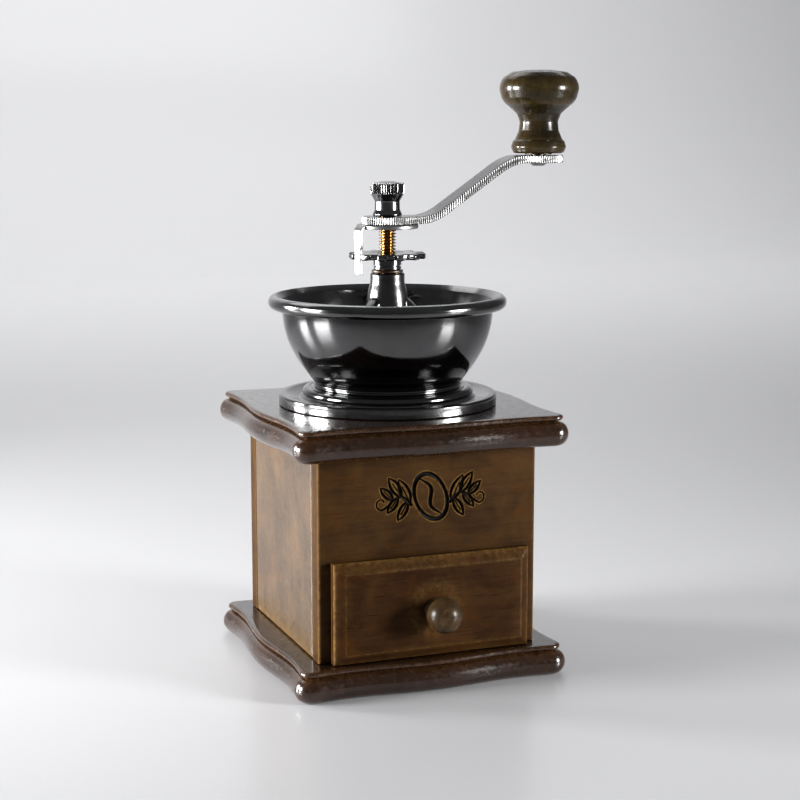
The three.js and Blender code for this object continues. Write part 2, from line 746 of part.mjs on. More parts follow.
// Plan of the arm: two round ends with softly drawn-in sides between them.
function armPlan(low, high) {
  const { hubRadius, endRadius, radius, width } = crank;
  const shape = new THREE.Shape();
  const lean = Math.PI / 3;
  shape.absarc(0, 0, hubRadius, lean, 2 * Math.PI - lean, false);
  const half = width / 2;
  shape.bezierCurveTo(hubRadius * 1.1, -half, radius * 0.3, -half, radius * 0.5, -half);
  shape.bezierCurveTo(radius * 0.7, -half, radius - endRadius * 1.1, -half,
    radius - endRadius * Math.cos(lean), -endRadius * Math.sin(lean));
  shape.absarc(radius, 0, endRadius, -Math.PI + lean, Math.PI - lean, false);
  shape.bezierCurveTo(radius - endRadius * 1.1, half, radius * 0.7, half, radius * 0.5, half);
  shape.bezierCurveTo(radius * 0.3, half, hubRadius * 1.1, half,
    hubRadius * Math.cos(lean), hubRadius * Math.sin(lean));
  const options = { depth: high - low, bevelEnabled: false, curveSegments: 6 };
  return new THREE.ExtrudeGeometry(shape, options).translate(0, 0, low);
}

function crankArm() {
  const bar = common(armSide(), armPlan(armBase - 5, armEndTop + 5));
  const key = keyedBar(threadBore, shaft.flats + 2 * slip, armBase - 1, armTop + 1);
  const pinHole = rod(knobPin.rivetRadius + slip, armEndBase - 1, armEndTop + 1, 16);
  return cut(bar, key, pinHole.translate(crank.radius, 0, 0));
}

function capNutShape() {
  const z = (share) => capBase + share * capNut.height;
  const { radius, waist, foot } = capNut;
  const boreTop = shaftTop + slip;
  return turned([
    [0, boreTop], [threadBore, boreTop], [threadBore, capBase], [foot, capBase], [waist, z(0.16)],
    [waist, z(0.45)], [radius - 0.6, z(0.58)], [radius, z(0.66)], [radius, z(0.9)],
    [radius * 0.6, z(0.98)], [0, z(1)],
  ]);
}

// The handle's knob: a swelling head, a slim neck and a rolled foot, bored from below for its sleeve.
function knobShape() {
  const bore = knobPin.radius + running + knob.sleeve + seat;
  const boreTop = sleeveBase + knobPin.reach + knobPin.head + knobPin.room;
  const z = (share) => knobBase + share * knob.height;
  const { radius, neck, base, foot } = knob;
  return turned([
    [0, boreTop], [bore, boreTop], [bore, knobBase], [foot, knobBase], [base, z(0.07)],
    [base - 1, z(0.15)], [neck + 0.9, z(0.2)], [neck, z(0.37)], [neck + 1.4, z(0.48)],
    [radius * 0.78, z(0.57)], [radius * 0.94, z(0.67)], [radius, z(0.8)],
    [radius * 0.92, z(0.89)], [radius * 0.64, z(0.97)], [0, z(1)],
  ]);
}

// The pin is riveted under the arm and carries the sleeve between the arm and its head.
function knobPinShape() {
  const { radius, rivetRadius, rivetHead, rivet, headRadius, head, reach } = knobPin;
  const rivetBase = armEndBase - seat;
  const shoulder = armEndTop + seat / 2;
  const neck = sleeveBase + reach;
  return turned([
    [0, rivetBase - rivet], [rivetHead * 0.7, rivetBase - rivet], [rivetHead, rivetBase],
    [rivetRadius, rivetBase], [rivetRadius, shoulder], [radius, shoulder], [radius, neck],
    [headRadius, neck], [headRadius, neck + head], [0, neck + head],
  ], 20);
}

function buildCrank() {
  place('crank_arm', 'darkChrome', crankArm());
  place('cap_nut', 'darkChrome', capNutShape());
  const sleeveBore = knobPin.radius + running;
  const handle = new THREE.Group();
  handle.position.set(crank.radius, 0, 0);
  group.add(handle);
  place('knob_pin', 'zincSteel', knobPinShape(), handle);
  place('knob_sleeve', 'brass',
    ring(sleeveBore, sleeveBore + knob.sleeve, sleeveBase, sleeveBase + knobPin.reach - slip, 20), handle);
  place('crank_knob', 'knobWood', knobShape(), handle);
}

buildCase();
buildDrawer();
buildHopper();
buildMechanism();
buildCrank();

export default group;
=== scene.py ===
"""The looks of a hand-cranked box coffee mill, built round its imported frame.

Shapes are drawn in millimetres and handed to Blender in metres.
Z is up, the drawer faces -Y and the crank points to +X.
"""

import json
import math

import bmesh
import bpy
import numpy as np
from mathutils import Matrix, Vector


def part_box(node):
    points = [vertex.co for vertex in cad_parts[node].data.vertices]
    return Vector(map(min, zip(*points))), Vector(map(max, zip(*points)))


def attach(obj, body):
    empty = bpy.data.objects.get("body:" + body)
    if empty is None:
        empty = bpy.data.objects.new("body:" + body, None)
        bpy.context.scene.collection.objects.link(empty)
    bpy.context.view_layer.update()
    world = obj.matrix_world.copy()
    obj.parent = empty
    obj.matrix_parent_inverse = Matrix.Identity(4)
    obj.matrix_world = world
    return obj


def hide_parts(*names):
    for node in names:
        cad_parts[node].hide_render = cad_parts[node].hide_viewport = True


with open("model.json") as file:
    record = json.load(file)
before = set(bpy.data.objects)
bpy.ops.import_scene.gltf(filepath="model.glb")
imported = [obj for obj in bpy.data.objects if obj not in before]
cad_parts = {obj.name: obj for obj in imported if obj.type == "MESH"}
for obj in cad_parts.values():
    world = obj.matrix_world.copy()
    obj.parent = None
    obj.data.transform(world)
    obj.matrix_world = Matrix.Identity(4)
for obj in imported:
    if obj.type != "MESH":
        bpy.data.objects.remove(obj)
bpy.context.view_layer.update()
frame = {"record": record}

MM = 0.001
TAU = 2 * math.pi


# ---------- frame helpers

def span(node):
    """Lowest and highest corner of a CAD node, in millimetres."""
    low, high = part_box(node)
    return np.array(low) / MM, np.array(high) / MM


def body_of_node(node):
    for body, members in frame["record"]["behaviour"]["bodies"].items():
        if node in members:
            return body
    raise ValueError(node)


# ---------- material helpers

def srgb(red, green, blue):
    """A linear colour from its 0 to 255 screen values."""
    def linear(value):
        share = value / 255
        return share / 12.92 if share <= 0.04045 else ((share + 0.055) / 1.055) ** 2.4
    return (linear(red), linear(green), linear(blue), 1.0)


def add_node(tree, kind, inputs, **settings):
    """Adds a node. An input that is a socket is linked, anything else is its value."""
    made = tree.nodes.new("ShaderNode" + kind)
    for key, value in settings.items():
        setattr(made, key, value)
    for key, value in inputs.items():
        if isinstance(value, bpy.types.NodeSocket):
            tree.links.new(value, made.inputs[key])
        else:
            made.inputs[key].default_value = value
    return made


def new_material(name):
    material = bpy.data.materials.new(name)
    material.use_nodes = True
    return material, material.node_tree, material.node_tree.nodes["Principled BSDF"]


def blend_colours(tree, factor, first, second):
    return add_node(tree, "Mix", {0: factor, 6: first, 7: second}, data_type="RGBA").outputs[2]


def remap(tree, value, low, high, to_low=0.0, to_high=1.0):
    inputs = {"Value": value, "From Min": low, "From Max": high, "To Min": to_low, "To Max": to_high}
    return add_node(tree, "MapRange", inputs, clamp=True).outputs["Result"]


def arithmetic(tree, operation, first, second):
    inputs = {0: first, 1: second}
    return add_node(tree, "Math", inputs, operation=operation, use_clamp=True).outputs[0]


def times(tree, first, second):
    return arithmetic(tree, "MULTIPLY", first, second)


def plus(tree, first, second):
    return arithmetic(tree, "ADD", first, second)


def painted(tree, name):
    """The values that a piece's vertices carry under a name."""
    return add_node(tree, "Attribute", {}, attribute_name=name).outputs["Fac"]


def object_coordinates(tree, scale=(1, 1, 1)):
    coordinates = add_node(tree, "TexCoord", {}).outputs["Object"]
    return add_node(tree, "Mapping", {"Vector": coordinates, "Scale": scale}).outputs["Vector"]


def noise(tree, stretch, scale, detail, roughness, distortion=0.0):
    inputs = {"Vector": object_coordinates(tree, stretch), "Scale": scale, "Detail": detail}
    inputs |= {"Roughness": roughness, "Distortion": distortion}
    return add_node(tree, "TexNoise", inputs).outputs["Fac"]


def toned(colour, red, green, blue):
    """A colour with its channels multiplied, and none over 1."""
    return tuple(min(1.0, channel * share) for channel, share in zip(colour, (red, green, blue))) + (1.0,)


def set_bump(tree, shader, height, strength, distance):
    bump = add_node(tree, "Bump", {"Height": height, "Strength": strength, "Distance": distance})
    tree.links.new(bump.outputs["Normal"], shader.inputs["Normal"])


EVEN = (1, 1, 1)
# Near-black painted shade for the carved grooves.
GROOVE_SHADE = srgb(16, 14, 12)
RUBBED_METAL = (0.42, 0.42, 0.41, 1.0)


def wood_material(name, dark, light, worn, along, roughness, coat,
                  coat_roughness=0.16, ior=1.3, relief=0.3):
    """Stained wood: streaks along one axis, pores, soft blotches and a rubbed colour where it is worn."""
    material, tree, shader = new_material(name)
    dark, light, worn = srgb(*dark), srgb(*light), srgb(*worn)
    stretch = [420.0, 420.0, 420.0]
    stretch[along] = 26.0
    fine = [2600.0, 2600.0, 2600.0]
    fine[along] = 110.0
    streaks = noise(tree, stretch, 1.0, 7.0, 0.62, 0.8)
    blotches = noise(tree, EVEN, 58.0, 4.0, 0.6, 0.6)
    mottles = noise(tree, EVEN, 520.0, 4.0, 0.65, 0.3)
    pores = noise(tree, fine, 1.0, 2.0, 0.5)
    patches = noise(tree, (1.0, 1.0, 1.7), 75.0, 3.0, 0.6, 1.0)
    tone = plus(tree, times(tree, streaks, 0.32), times(tree, blotches, 0.68))
    stained = blend_colours(tree, remap(tree, tone, 0.38, 0.62), dark, light)
    warm = toned(light, 1.25, 0.95, 0.5)
    stained = blend_colours(tree, remap(tree, patches, 0.55, 0.75, 0.0, 0.6), stained, warm)
    open_pores = remap(tree, pores, 0.60, 0.72)
    shade = toned(dark, 0.35, 0.35, 0.35)
    stained = blend_colours(tree, times(tree, open_pores, 0.6), stained, shade)
    patchy = remap(tree, mottles, 0.35, 0.65, 0.15, 1.0)
    stained = blend_colours(tree, times(tree, painted(tree, "wear"), patchy), stained, worn)
    # Painted shade: the carved grooves are darkened towards near black by their depth.
    stained = blend_colours(tree, painted(tree, "groove_shade"), stained, GROOVE_SHADE)
    tree.links.new(stained, shader.inputs["Base Color"])
    gloss = remap(tree, mottles, 0.3, 0.7, roughness - 0.08, roughness + 0.12)
    tree.links.new(gloss, shader.inputs["Roughness"])
    shader.inputs["IOR"].default_value = ior
    shader.inputs["Coat Weight"].default_value = coat
    shader.inputs["Coat Roughness"].default_value = coat_roughness
    surface = plus(tree, times(tree, streaks, 0.45), times(tree, mottles, 0.5))
    height = arithmetic(tree, "SUBTRACT", surface, times(tree, open_pores, 0.3))
    set_bump(tree, shader, height, relief, 0.0003)
    return material


def metal_material(name, base, roughness, brushed, spread, tint, bump_strength):
    """Plated or bare metal: smudges in the gloss, fine marks and slightly duller, paler rubbed edges."""
    material, tree, shader = new_material(name)
    smudges = noise(tree, EVEN, 90.0, 4.0, 0.6, 0.5)
    marks = noise(tree, brushed, 1.0, 3.0, 0.6)
    darker = toned(base, 1 - tint, 1 - tint, 1 - tint)
    brighter = toned(base, 1 + tint, 1 + tint, 1 + tint)
    colour = blend_colours(tree, remap(tree, smudges, 0.3, 0.7), darker, brighter)
    # Rubbed places turn paler and rougher; on the crank bar's toothed edges the paler colour is partly a
    # painted sheen.
    rubbed = painted(tree, "wear")
    patchy = times(tree, rubbed, remap(tree, marks, 0.3, 0.7, 0.5, 1.0))
    colour = blend_colours(tree, patchy, colour, RUBBED_METAL)
    tree.links.new(colour, shader.inputs["Base Color"])
    gloss = remap(tree, smudges, 0.3, 0.75, roughness, roughness + spread)
    gloss = plus(tree, gloss, times(tree, rubbed, 0.12))
    tree.links.new(gloss, shader.inputs["Roughness"])
    shader.inputs["Metallic"].default_value = 1.0
    set_bump(tree, shader, marks, bump_strength, 0.0001)
    return material


X, Y, Z = 0, 1, 2
GOLDEN = (124, 94, 46)
PALE = (118, 88, 46)
SAWN = (205, 172, 124)
# Screen colours of the dark and light figure and of worn places, the grain's axis, roughness, coat,
# coat roughness, index of refraction and relief.
WOODS = {
    "plate_wood": ((17, 9, 5), (38, 21, 12), (86, 58, 32), X, 0.2, 0.7, 0.09),
    "front_wood": ((45, 28, 11), (66, 44, 20), GOLDEN, X, 0.42, 0.03, 0.25, 1.12),
    "side_wood": ((52, 37, 19), (76, 56, 32), GOLDEN, Z, 0.36, 0.12, 0.24, 1.42),
    "drawer_wood": ((42, 24, 11), (60, 38, 18), PALE, X, 0.36, 0.02, 0.2, 1.1),
    "knob_wood": ((22, 17, 7), (46, 36, 16), (80, 66, 36), Z, 0.24, 0.35, 0.13, 1.22, 0.05),
    "pull_wood": ((36, 25, 13), (56, 41, 23), (96, 74, 44), Y, 0.34, 0.18, 0.2, 1.2, 0.1),
    "raw_wood": ((150, 112, 70), (190, 152, 104), SAWN, Y, 0.62, 0.0),
    "raw_wood_cross": ((148, 110, 68), (186, 148, 100), SAWN, X, 0.62, 0.0),
}
FINE = (900.0, 900.0, 900.0)
ROUND_MARKS = (500.0, 500.0, 3000.0)
# Colour, roughness, stretch of the marks, spread of the gloss, spread of the colour, depth of the marks.
METALS = {
    "black_nickel": ((0.1, 0.1, 0.101), 0.06, FINE, 0.12, 0.12, 0.03),
    "dark_chrome": ((0.17, 0.17, 0.17), 0.1, FINE, 0.14, 0.12, 0.06),
    "zinc_steel": ((0.24, 0.24, 0.235), 0.3, FINE, 0.16, 0.12, 0.1),
    "crank_chrome": ((0.08, 0.08, 0.082), 0.16, FINE, 0.14, 0.12, 0.06),
    "cast_iron": ((0.11, 0.11, 0.111), 0.14, (1400.0, 1400.0, 1400.0), 0.16, 0.2, 0.3),
    "burr_steel": ((0.4, 0.39, 0.38), 0.3, (300.0, 300.0, 2400.0), 0.18, 0.2, 0.2),
    "brass": ((0.36, 0.22, 0.09), 0.07, ROUND_MARKS, 0.14, 0.2, 0.08),
    "dark_bronze": ((0.07, 0.058, 0.045), 0.3, ROUND_MARKS, 0.2, 0.2, 0.2),
}
MATERIALS = {name: wood_material(name, *facts) for name, facts in WOODS.items()}
MATERIALS |= {name: metal_material(name, *facts) for name, facts in METALS.items()}


# ---------- mesh helpers

def make_piece(name, shape, material, nodes, sharp=38, wear=None, groove_shade=None):
    """A mesh piece in place of CAD nodes. shape is (vertices in mm, faces)."""
    vertices, faces = shape
    vertices = np.asarray(vertices, float)
    mesh = bpy.data.meshes.new(name)
    mesh.from_pydata((vertices * MM).tolist(), [], [tuple(int(i) for i in face) for face in faces])
    work = bmesh.new()
    work.from_mesh(mesh)
    bmesh.ops.recalc_face_normals(work, faces=work.faces)
    work.to_mesh(mesh)
    work.free()
    mesh.shade_smooth()
    mesh.set_sharp_from_angle(angle=math.radians(sharp))
    # Vertex layers for the materials: wear, which on the crank bar is partly painted sheen, and painted shade
    # in carved grooves.
    for label, values in (("wear", wear), ("groove_shade", groove_shade)):
        if values is not None:
            layer = mesh.attributes.new(label, "FLOAT", "POINT")
            layer.data.foreach_set("value", np.clip(np.asarray(values, np.float32), 0, 1))
    mesh.materials.append(MATERIALS[material])
    piece = bpy.data.objects.new(name, mesh)
    bpy.context.scene.collection.objects.link(piece)
    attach(piece, body_of_node(nodes[0]))
    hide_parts(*nodes)
    return piece


def rounded(points, steps=6):
    """Rounds a line of (r, z) or (r, z, radius) points: a corner with a radius becomes an arc."""
    corners = [np.array(p[:2], float) for p in points]
    radii = [p[2] if len(p) > 2 else 0.0 for p in points]
    out = [corners[0]]
    for before, here, after, radius in zip(corners, corners[1:], corners[2:], radii[1:]):
        back, ahead = before - here, after - here
        reach = min(np.linalg.norm(back), np.linalg.norm(ahead))
        back, ahead = back / np.linalg.norm(back), ahead / np.linalg.norm(ahead)
        angle = math.acos(float(np.clip(back @ ahead, -1, 1)))
        if radius <= 0 or angle > math.pi - 0.02:
            out.append(here)
            continue
        leg = min(radius / math.tan(angle / 2), 0.48 * reach)
        start, end = here + back * leg, here + ahead * leg
        for step in range(steps + 1):
            t = step / steps
            out.append((1 - t) ** 2 * start + 2 * t * (1 - t) * here + t * t * end)
    out.append(corners[-1])
    return out


def arc(centre, radius, start, end, steps=12):
    angles = np.radians(np.linspace(start, end, steps + 1))
    return [(centre[0] + radius * math.cos(a), centre[1] + radius * math.sin(a)) for a in angles]


def bezier(p0, p1, p2, p3, steps=24):
    points = [np.array(p, float) for p in (p0, p1, p2, p3)]
    out = []
    for t in np.linspace(0, 1, steps + 1):
        weights = ((1 - t) ** 3, 3 * t * (1 - t) ** 2, 3 * t * t * (1 - t), t ** 3)
        out.append(sum(w * p for w, p in zip(weights, points)))
    return out


def turned(profile, segments=96, centre=(0, 0, 0), ripple=None):
    """Turns (r, z) points round Z, closed on the axis where they end there, or else on themselves.

    ripple(angle, r, z) gives a factor for the radius.
    """
    profile = [np.array(p[:2], float) for p in profile]
    start_pole, end_pole = profile[0][0] < 1e-6, profile[-1][0] < 1e-6
    rows = profile[int(start_pole):len(profile) - int(end_pole)]
    vertices, faces = [], []
    for r, z in rows:
        for k in range(segments):
            a = TAU * k / segments
            reach = r * (ripple(a, r, z) if ripple else 1.0)
            vertices.append((reach * math.cos(a), reach * math.sin(a), z))
    loops = len(rows) - 1 if start_pole or end_pole else len(rows)
    for j in range(loops):
        for k in range(segments):
            a, b = j * segments + k, j * segments + (k + 1) % segments
            c = ((j + 1) % len(rows)) * segments
            faces.append((a, b, c + (k + 1) % segments, c + k))
    for pole, row, point in ((start_pole, 0, profile[0]), (end_pole, len(rows) - 1, profile[-1])):
        if pole:
            vertices.append((0, 0, point[1]))
            tip, first = len(vertices) - 1, row * segments
            faces += [(first + k, first + (k + 1) % segments, tip) for k in range(segments)]
    return np.array(vertices) + np.array(centre, float), faces


def skin(rings, looped=False):
    """Joins rings of equal length by quads. The ends are flat, or joined to each other when looped."""
    count, total = len(rings[0]), len(rings)
    faces = []
    for j in range(total if looped else total - 1):
        here, above = j * count, (j + 1) % total * count
        for k in range(count):
            beside = (k + 1) % count
            faces.append((here + k, here + beside, above + beside, above + k))
    if not looped:
        faces.append(tuple(range(count))[::-1])
        faces.append(tuple(range((total - 1) * count, total * count)))
    return np.vstack(rings), faces


def polar_ring(reach, z, segments):
    """A ring of points round Z. reach is a radius, or a function that gives it for an angle."""
    ring = []
    for k in range(segments):
        a = TAU * k / segments
        radius = reach(a) if callable(reach) else reach
        ring.append((radius * math.cos(a), radius * math.sin(a), z))
    return np.array(ring)


def on_centre(shape, x, y, z):
    return shape[0] + np.array([x, y, z]), shape[1]


def middle_of(node):
    low, high = span(node)
    return (low + high) / 2


def merge(*shapes):
    vertices, faces, offset = [], [], 0
    for points, some in shapes:
        vertices.append(np.asarray(points, float))
        faces += [tuple(i + offset for i in face) for face in some]
        offset += len(points)
    return np.vstack(vertices), faces


LINE_PITCH = 5.0


def edge_lines(low, high, radius, extra=()):
    """Grid lines across a board: close together where its edge is rounded and worn, wider between."""
    near = [share * radius for share in (0, 0.08, 0.3, 0.62, 1)]
    near = [n for n in (*near, radius + 0.6, radius + 1.6, radius + 3.2) if n < (high - low) / 2]
    inner = np.arange(low + near[-1] + LINE_PITCH, high - near[-1] - LINE_PITCH / 2, LINE_PITCH)
    lines = sorted({*(low + n for n in near), *(high - n for n in near), *inner, *extra})
    kept = [lines[0]]
    for value in lines[1:]:
        if value - kept[-1] > 0.02:
            kept.append(value)
    return np.array(kept)


def edge_distance(us, vs):
    """How far each grid point of a board lies from its nearest edge."""
    u, v = np.meshgrid(us, vs)
    return np.minimum(np.minimum(u - us[0], us[-1] - u), np.minimum(v - vs[0], vs[-1] - v))


def board(us, vs, thickness, radius, place, hole=None, relief=None, rubbed=0.8):
    """A flat board on grid lines us by vs, with rounded edges. relief(u, v, edge distance) lowers its face.

    hole(u, v) is true for cells that are left out. place(u, v, w) turns board axes into x, y, z arrays,
    with w from 0 at the back to the thickness at the face. Also returns each vertex's wear, and which
    of the grid's vertices were kept because a face uses them.
    """
    columns, rows = len(us), len(vs)
    u, v = np.meshgrid(us, vs)
    from_edge = edge_distance(us, vs)
    inset = np.clip(radius - from_edge, 0, radius)
    drop = radius - np.sqrt(np.maximum(radius ** 2 - inset ** 2, 0))
    face = thickness - drop
    if relief is not None:
        face = face - relief(u, v, from_edge)
    margin = min(0.7, thickness / 2 - radius - 0.05)
    mid_high = np.minimum(thickness - radius - margin, face.ravel() - 0.4)
    mid_low = np.full(u.size, radius + margin)
    levels = [face.ravel(), mid_high, mid_low, drop.ravel()]
    vertices = np.vstack([np.column_stack(place(u.ravel(), v.ravel(), level)) for level in levels])
    solid = np.ones((rows - 1, columns - 1), bool)
    if hole is not None:
        mid_u, mid_v = np.meshgrid((us[1:] + us[:-1]) / 2, (vs[1:] + vs[:-1]) / 2)
        solid = ~hole(mid_u, mid_v)
    faces = []
    layer = rows * columns
    at = np.arange(layer).reshape(rows, columns)
    for j, i in zip(*np.nonzero(solid)):
        a, b, c, d = at[j, i], at[j, i + 1], at[j + 1, i + 1], at[j + 1, i]
        faces.append((a, b, c, d))
        faces.append((d + 3 * layer, c + 3 * layer, b + 3 * layer, a + 3 * layer))
        beside = ((0, -1, d, a), (0, 1, b, c), (-1, 0, a, b), (1, 0, c, d))
        for dj, di, p, q in beside:
            jj, ii = j + dj, i + di
            if not (0 <= jj < rows - 1 and 0 <= ii < columns - 1 and solid[jj, ii]):
                for k in (0, layer, 2 * layer):
                    faces.append((q + k, p + k, p + k + layer, q + k + layer))
    edge_wear = rubbed * np.exp(-(from_edge / 0.6) ** 2).ravel()
    wear = np.concatenate([edge_wear, np.zeros(2 * layer), edge_wear])
    used = np.zeros(len(vertices), bool)
    used[np.array(faces).ravel()] = True
    index = np.cumsum(used) - 1
    return (vertices[used], [tuple(index[i] for i in face) for face in faces]), wear[used], used


# ---------- moulded plates

PLATE = {"half": 48.0, "corner": 4.0, "wave": 1.1, "wave_length": 60.0}


def plate_outline(push, z, stations=72, corner_steps=10):
    """The wavy square outline, pushed out by a distance, with round corners."""
    flat = PLATE["half"] - PLATE["corner"]
    points = []
    for side in range(4):
        turn = Matrix.Rotation(side * math.pi / 2, 3, "Z")
        for s in np.linspace(-flat, flat, stations):
            swell = math.cos(TAU * s / PLATE["wave_length"]) - math.cos(TAU * flat / PLATE["wave_length"])
            points.append(turn @ Vector((PLATE["half"] + PLATE["wave"] * swell + push, s, z)))
        for x, y in arc((flat, flat), max(PLATE["corner"] + push, 0.3), 0, 90, corner_steps - 1)[1:-1]:
            points.append(turn @ Vector((x, y, z)))
    return np.array([tuple(p) for p in points])


def plate_section(height):
    """(push, z, wear) up the moulded edge: half-round bead, quirk and thin rounded lip."""
    bead_top = 0.77 * height
    section = [(-2.6, 0.0, 0.3)]
    for angle in np.linspace(-86, 84, 22):
        a = math.radians(angle)
        rubbed = 0.12 + 0.5 * max(0, math.sin(a)) ** 6 + 0.45 * max(0, -math.sin(a)) ** 6
        section.append((-1.7 + 3.7 * math.cos(a), bead_top / 2 * (1 + math.sin(a)), rubbed))
    section += [(-1.75, bead_top + 0.12, 0.5), (-1.9, bead_top + 0.3, 0.0), (-1.8, bead_top + 0.5, 0.0)]
    lip_low = bead_top + 0.55
    for angle in np.linspace(-80, 62, 9):
        a = math.radians(angle)
        z = lip_low + (height - lip_low) / 2 * (1 + math.sin(a) / 0.99)
        section.append((-1.1 + 1.1 * math.cos(a), z, 0.45 * max(0, math.cos(a))))
    section += [(-1.0, height, 0.35), (-2.2, height, 0.1), (-3.6, height, 0.02)]
    return section


BURR_SEAT = {"room": 0.3, "barrel": 16.2, "shelf": 3.1}


def moulded_plate(name, node, burr_hole=False):
    """A plate with a moulded edge. The outer burr's stepped hole goes through it when it has one."""
    low, high = span(node)
    rings, wear = [], []
    for push, z, rubbed in plate_section(high[2] - low[2]):
        ring = plate_outline(push, min(low[2] + z, high[2]))
        rings.append(ring)
        corner = np.maximum(0, np.hypot(ring[:, 0], ring[:, 1]) - 60) / 8
        wear.append(rubbed + 0.5 * np.clip(corner, 0, 1) * rubbed)
    outer = rings[-1]
    rings += [outer * np.array([share, share, 1]) for share in (0.8, 0.62)]
    if burr_hole:
        flange = span("outer_burr")[1][0] + BURR_SEAT["room"]
        barrel = BURR_SEAT["barrel"] + BURR_SEAT["room"]
        shelf = high[2] - BURR_SEAT["shelf"]
        angle = np.arctan2(outer[:, 1], outer[:, 0])
        unit_ring = np.column_stack([np.cos(angle), np.sin(angle), np.ones(len(outer))])
        for radius, z in ((flange, high[2]), (flange, shelf), (barrel, shelf), (barrel, low[2])):
            rings.append(unit_ring * np.array([radius, radius, z]))
    blank = np.zeros((len(rings) - len(wear)) * len(outer))
    shape = skin(rings, looped=burr_hole)
    make_piece(name, shape, "plate_wood", [node], wear=np.concatenate([*wear, blank]))


moulded_plate("base_moulding", "bottom_plate")
moulded_plate("top_moulding", "top_plate", burr_hole=True)


# ---------- ornament carved in the front panel

def leaf(root, tip, bulge):
    """Two curved strokes from root to tip, with a vein between them."""
    root, tip = np.array(root, float), np.array(tip, float)
    along = tip - root
    across = np.array([-along[1], along[0]]) * bulge
    strokes = []
    for side in (1, -1):
        control = root + along * 0.45 + across * side
        t = np.linspace(0, 1, 28)[:, None]
        line = (1 - t) ** 2 * root + 2 * t * (1 - t) * control + t * t * tip
        width = 0.26 + 0.3 * np.sin(np.pi * t[:, 0])
        strokes.append(np.column_stack([line, width]))
    t = np.linspace(0.08, 0.7, 16)[:, None]
    strokes.append(np.column_stack([root + along * t, 0.2 + 0.06 * np.sin(np.pi * t[:, 0])]))
    return strokes


# Share of the stem, length, lean in degrees and up or down, for the leaves on each side.
LEAVES = (
    (0.04, 9.6, 64, 1), (0.33, 8.4, 56, 1), (0.6, 6.6, 44, 1), (0.12, 7.4, 60, -1), (0.44, 6.6, 52, -1))


def bean_strokes():
    """A tilted coffee bean: its outline and its crease."""
    angles = np.linspace(0, TAU, 110)
    tilt = math.radians(24)
    turn = np.array([[math.cos(tilt), math.sin(tilt)], [-math.sin(tilt), math.cos(tilt)]])
    bean = np.column_stack([5.6 * np.cos(angles), 8.4 * np.sin(angles)])
    t = np.linspace(-1, 1, 54)
    crease = np.column_stack([1.3 * np.sin(1.25 * np.pi * t), 7.3 * t])
    return [np.column_stack([bean @ turn, 0.6 + 0.25 * np.abs(np.sin(angles))]),
            np.column_stack([crease @ turn, 0.26 + 0.5 * np.cos(t * np.pi / 2)])]


def ornament_strokes():
    """A coffee bean between two curling sprigs, as (x, z, half width) about the ornament's centre."""
    strokes = bean_strokes()
    for side in (-1, 1):
        t = np.linspace(0, 1, 66)
        stem_x = 7.2 + 10.8 * t
        stem_z = -2.4 + 5.2 * t - 4.6 * t * t + 1.7 * np.sin(TAU * t * 0.75)
        strokes.append(np.column_stack([side * stem_x, stem_z, 0.58 - 0.2 * t]))
        turns = np.linspace(0, 1.35 * math.pi, 40)
        reach = 2.3 * (1 - turns / (2.3 * math.pi))
        curl_x = stem_x[-1] + reach * np.sin(turns)
        curl_z = stem_z[-1] + 2.3 - reach * np.cos(turns)
        strokes.append(np.column_stack([side * curl_x, curl_z, 0.32 - 0.06 * turns / turns[-1]]))
        for share, length, lean, up in LEAVES:
            i = int(share * (len(t) - 1))
            angle = math.radians(lean)
            root = (side * stem_x[i], stem_z[i])
            tip = (root[0] + side * length * math.cos(angle), root[1] + up * length * math.sin(angle))
            strokes += leaf(root, tip, 0.34)
    return np.vstack(strokes)


ORNAMENT_CENTRE = (0.6, 66.2)
ORNAMENT_HALF = (22.0, 11.2)
ORNAMENT_PITCH = 0.17
GROOVE_DEPTH = 0.9


def ornament_depth(u, v):
    """Groove depth, rubbed rim and painted groove shade at every grid point."""
    strokes = ornament_strokes()
    depth, rim = np.zeros(u.size), np.zeros(u.size)
    x, z = u.ravel() - ORNAMENT_CENTRE[0], v.ravel() - ORNAMENT_CENTRE[1]
    near = np.nonzero((np.abs(x) < ORNAMENT_HALF[0] + 1) & (np.abs(z) < ORNAMENT_HALF[1] + 1))[0]
    margin = np.full(len(near), 99.0)
    for px, pz, half in strokes:
        margin = np.minimum(margin, np.hypot(x[near] - px, z[near] - pz) - half)
    depth[near] = GROOVE_DEPTH * np.sqrt(np.clip(-margin / 0.42, 0, 1))
    rim[near] = np.exp(-((margin - 0.14) / 0.17) ** 2)
    # The third value is painted shade, darker the deeper the groove.
    return depth.reshape(u.shape), rim.reshape(u.shape), np.clip(depth / (0.5 * GROOVE_DEPTH), 0, 1)


# ---------- case panels

PANEL_EDGE = 0.9


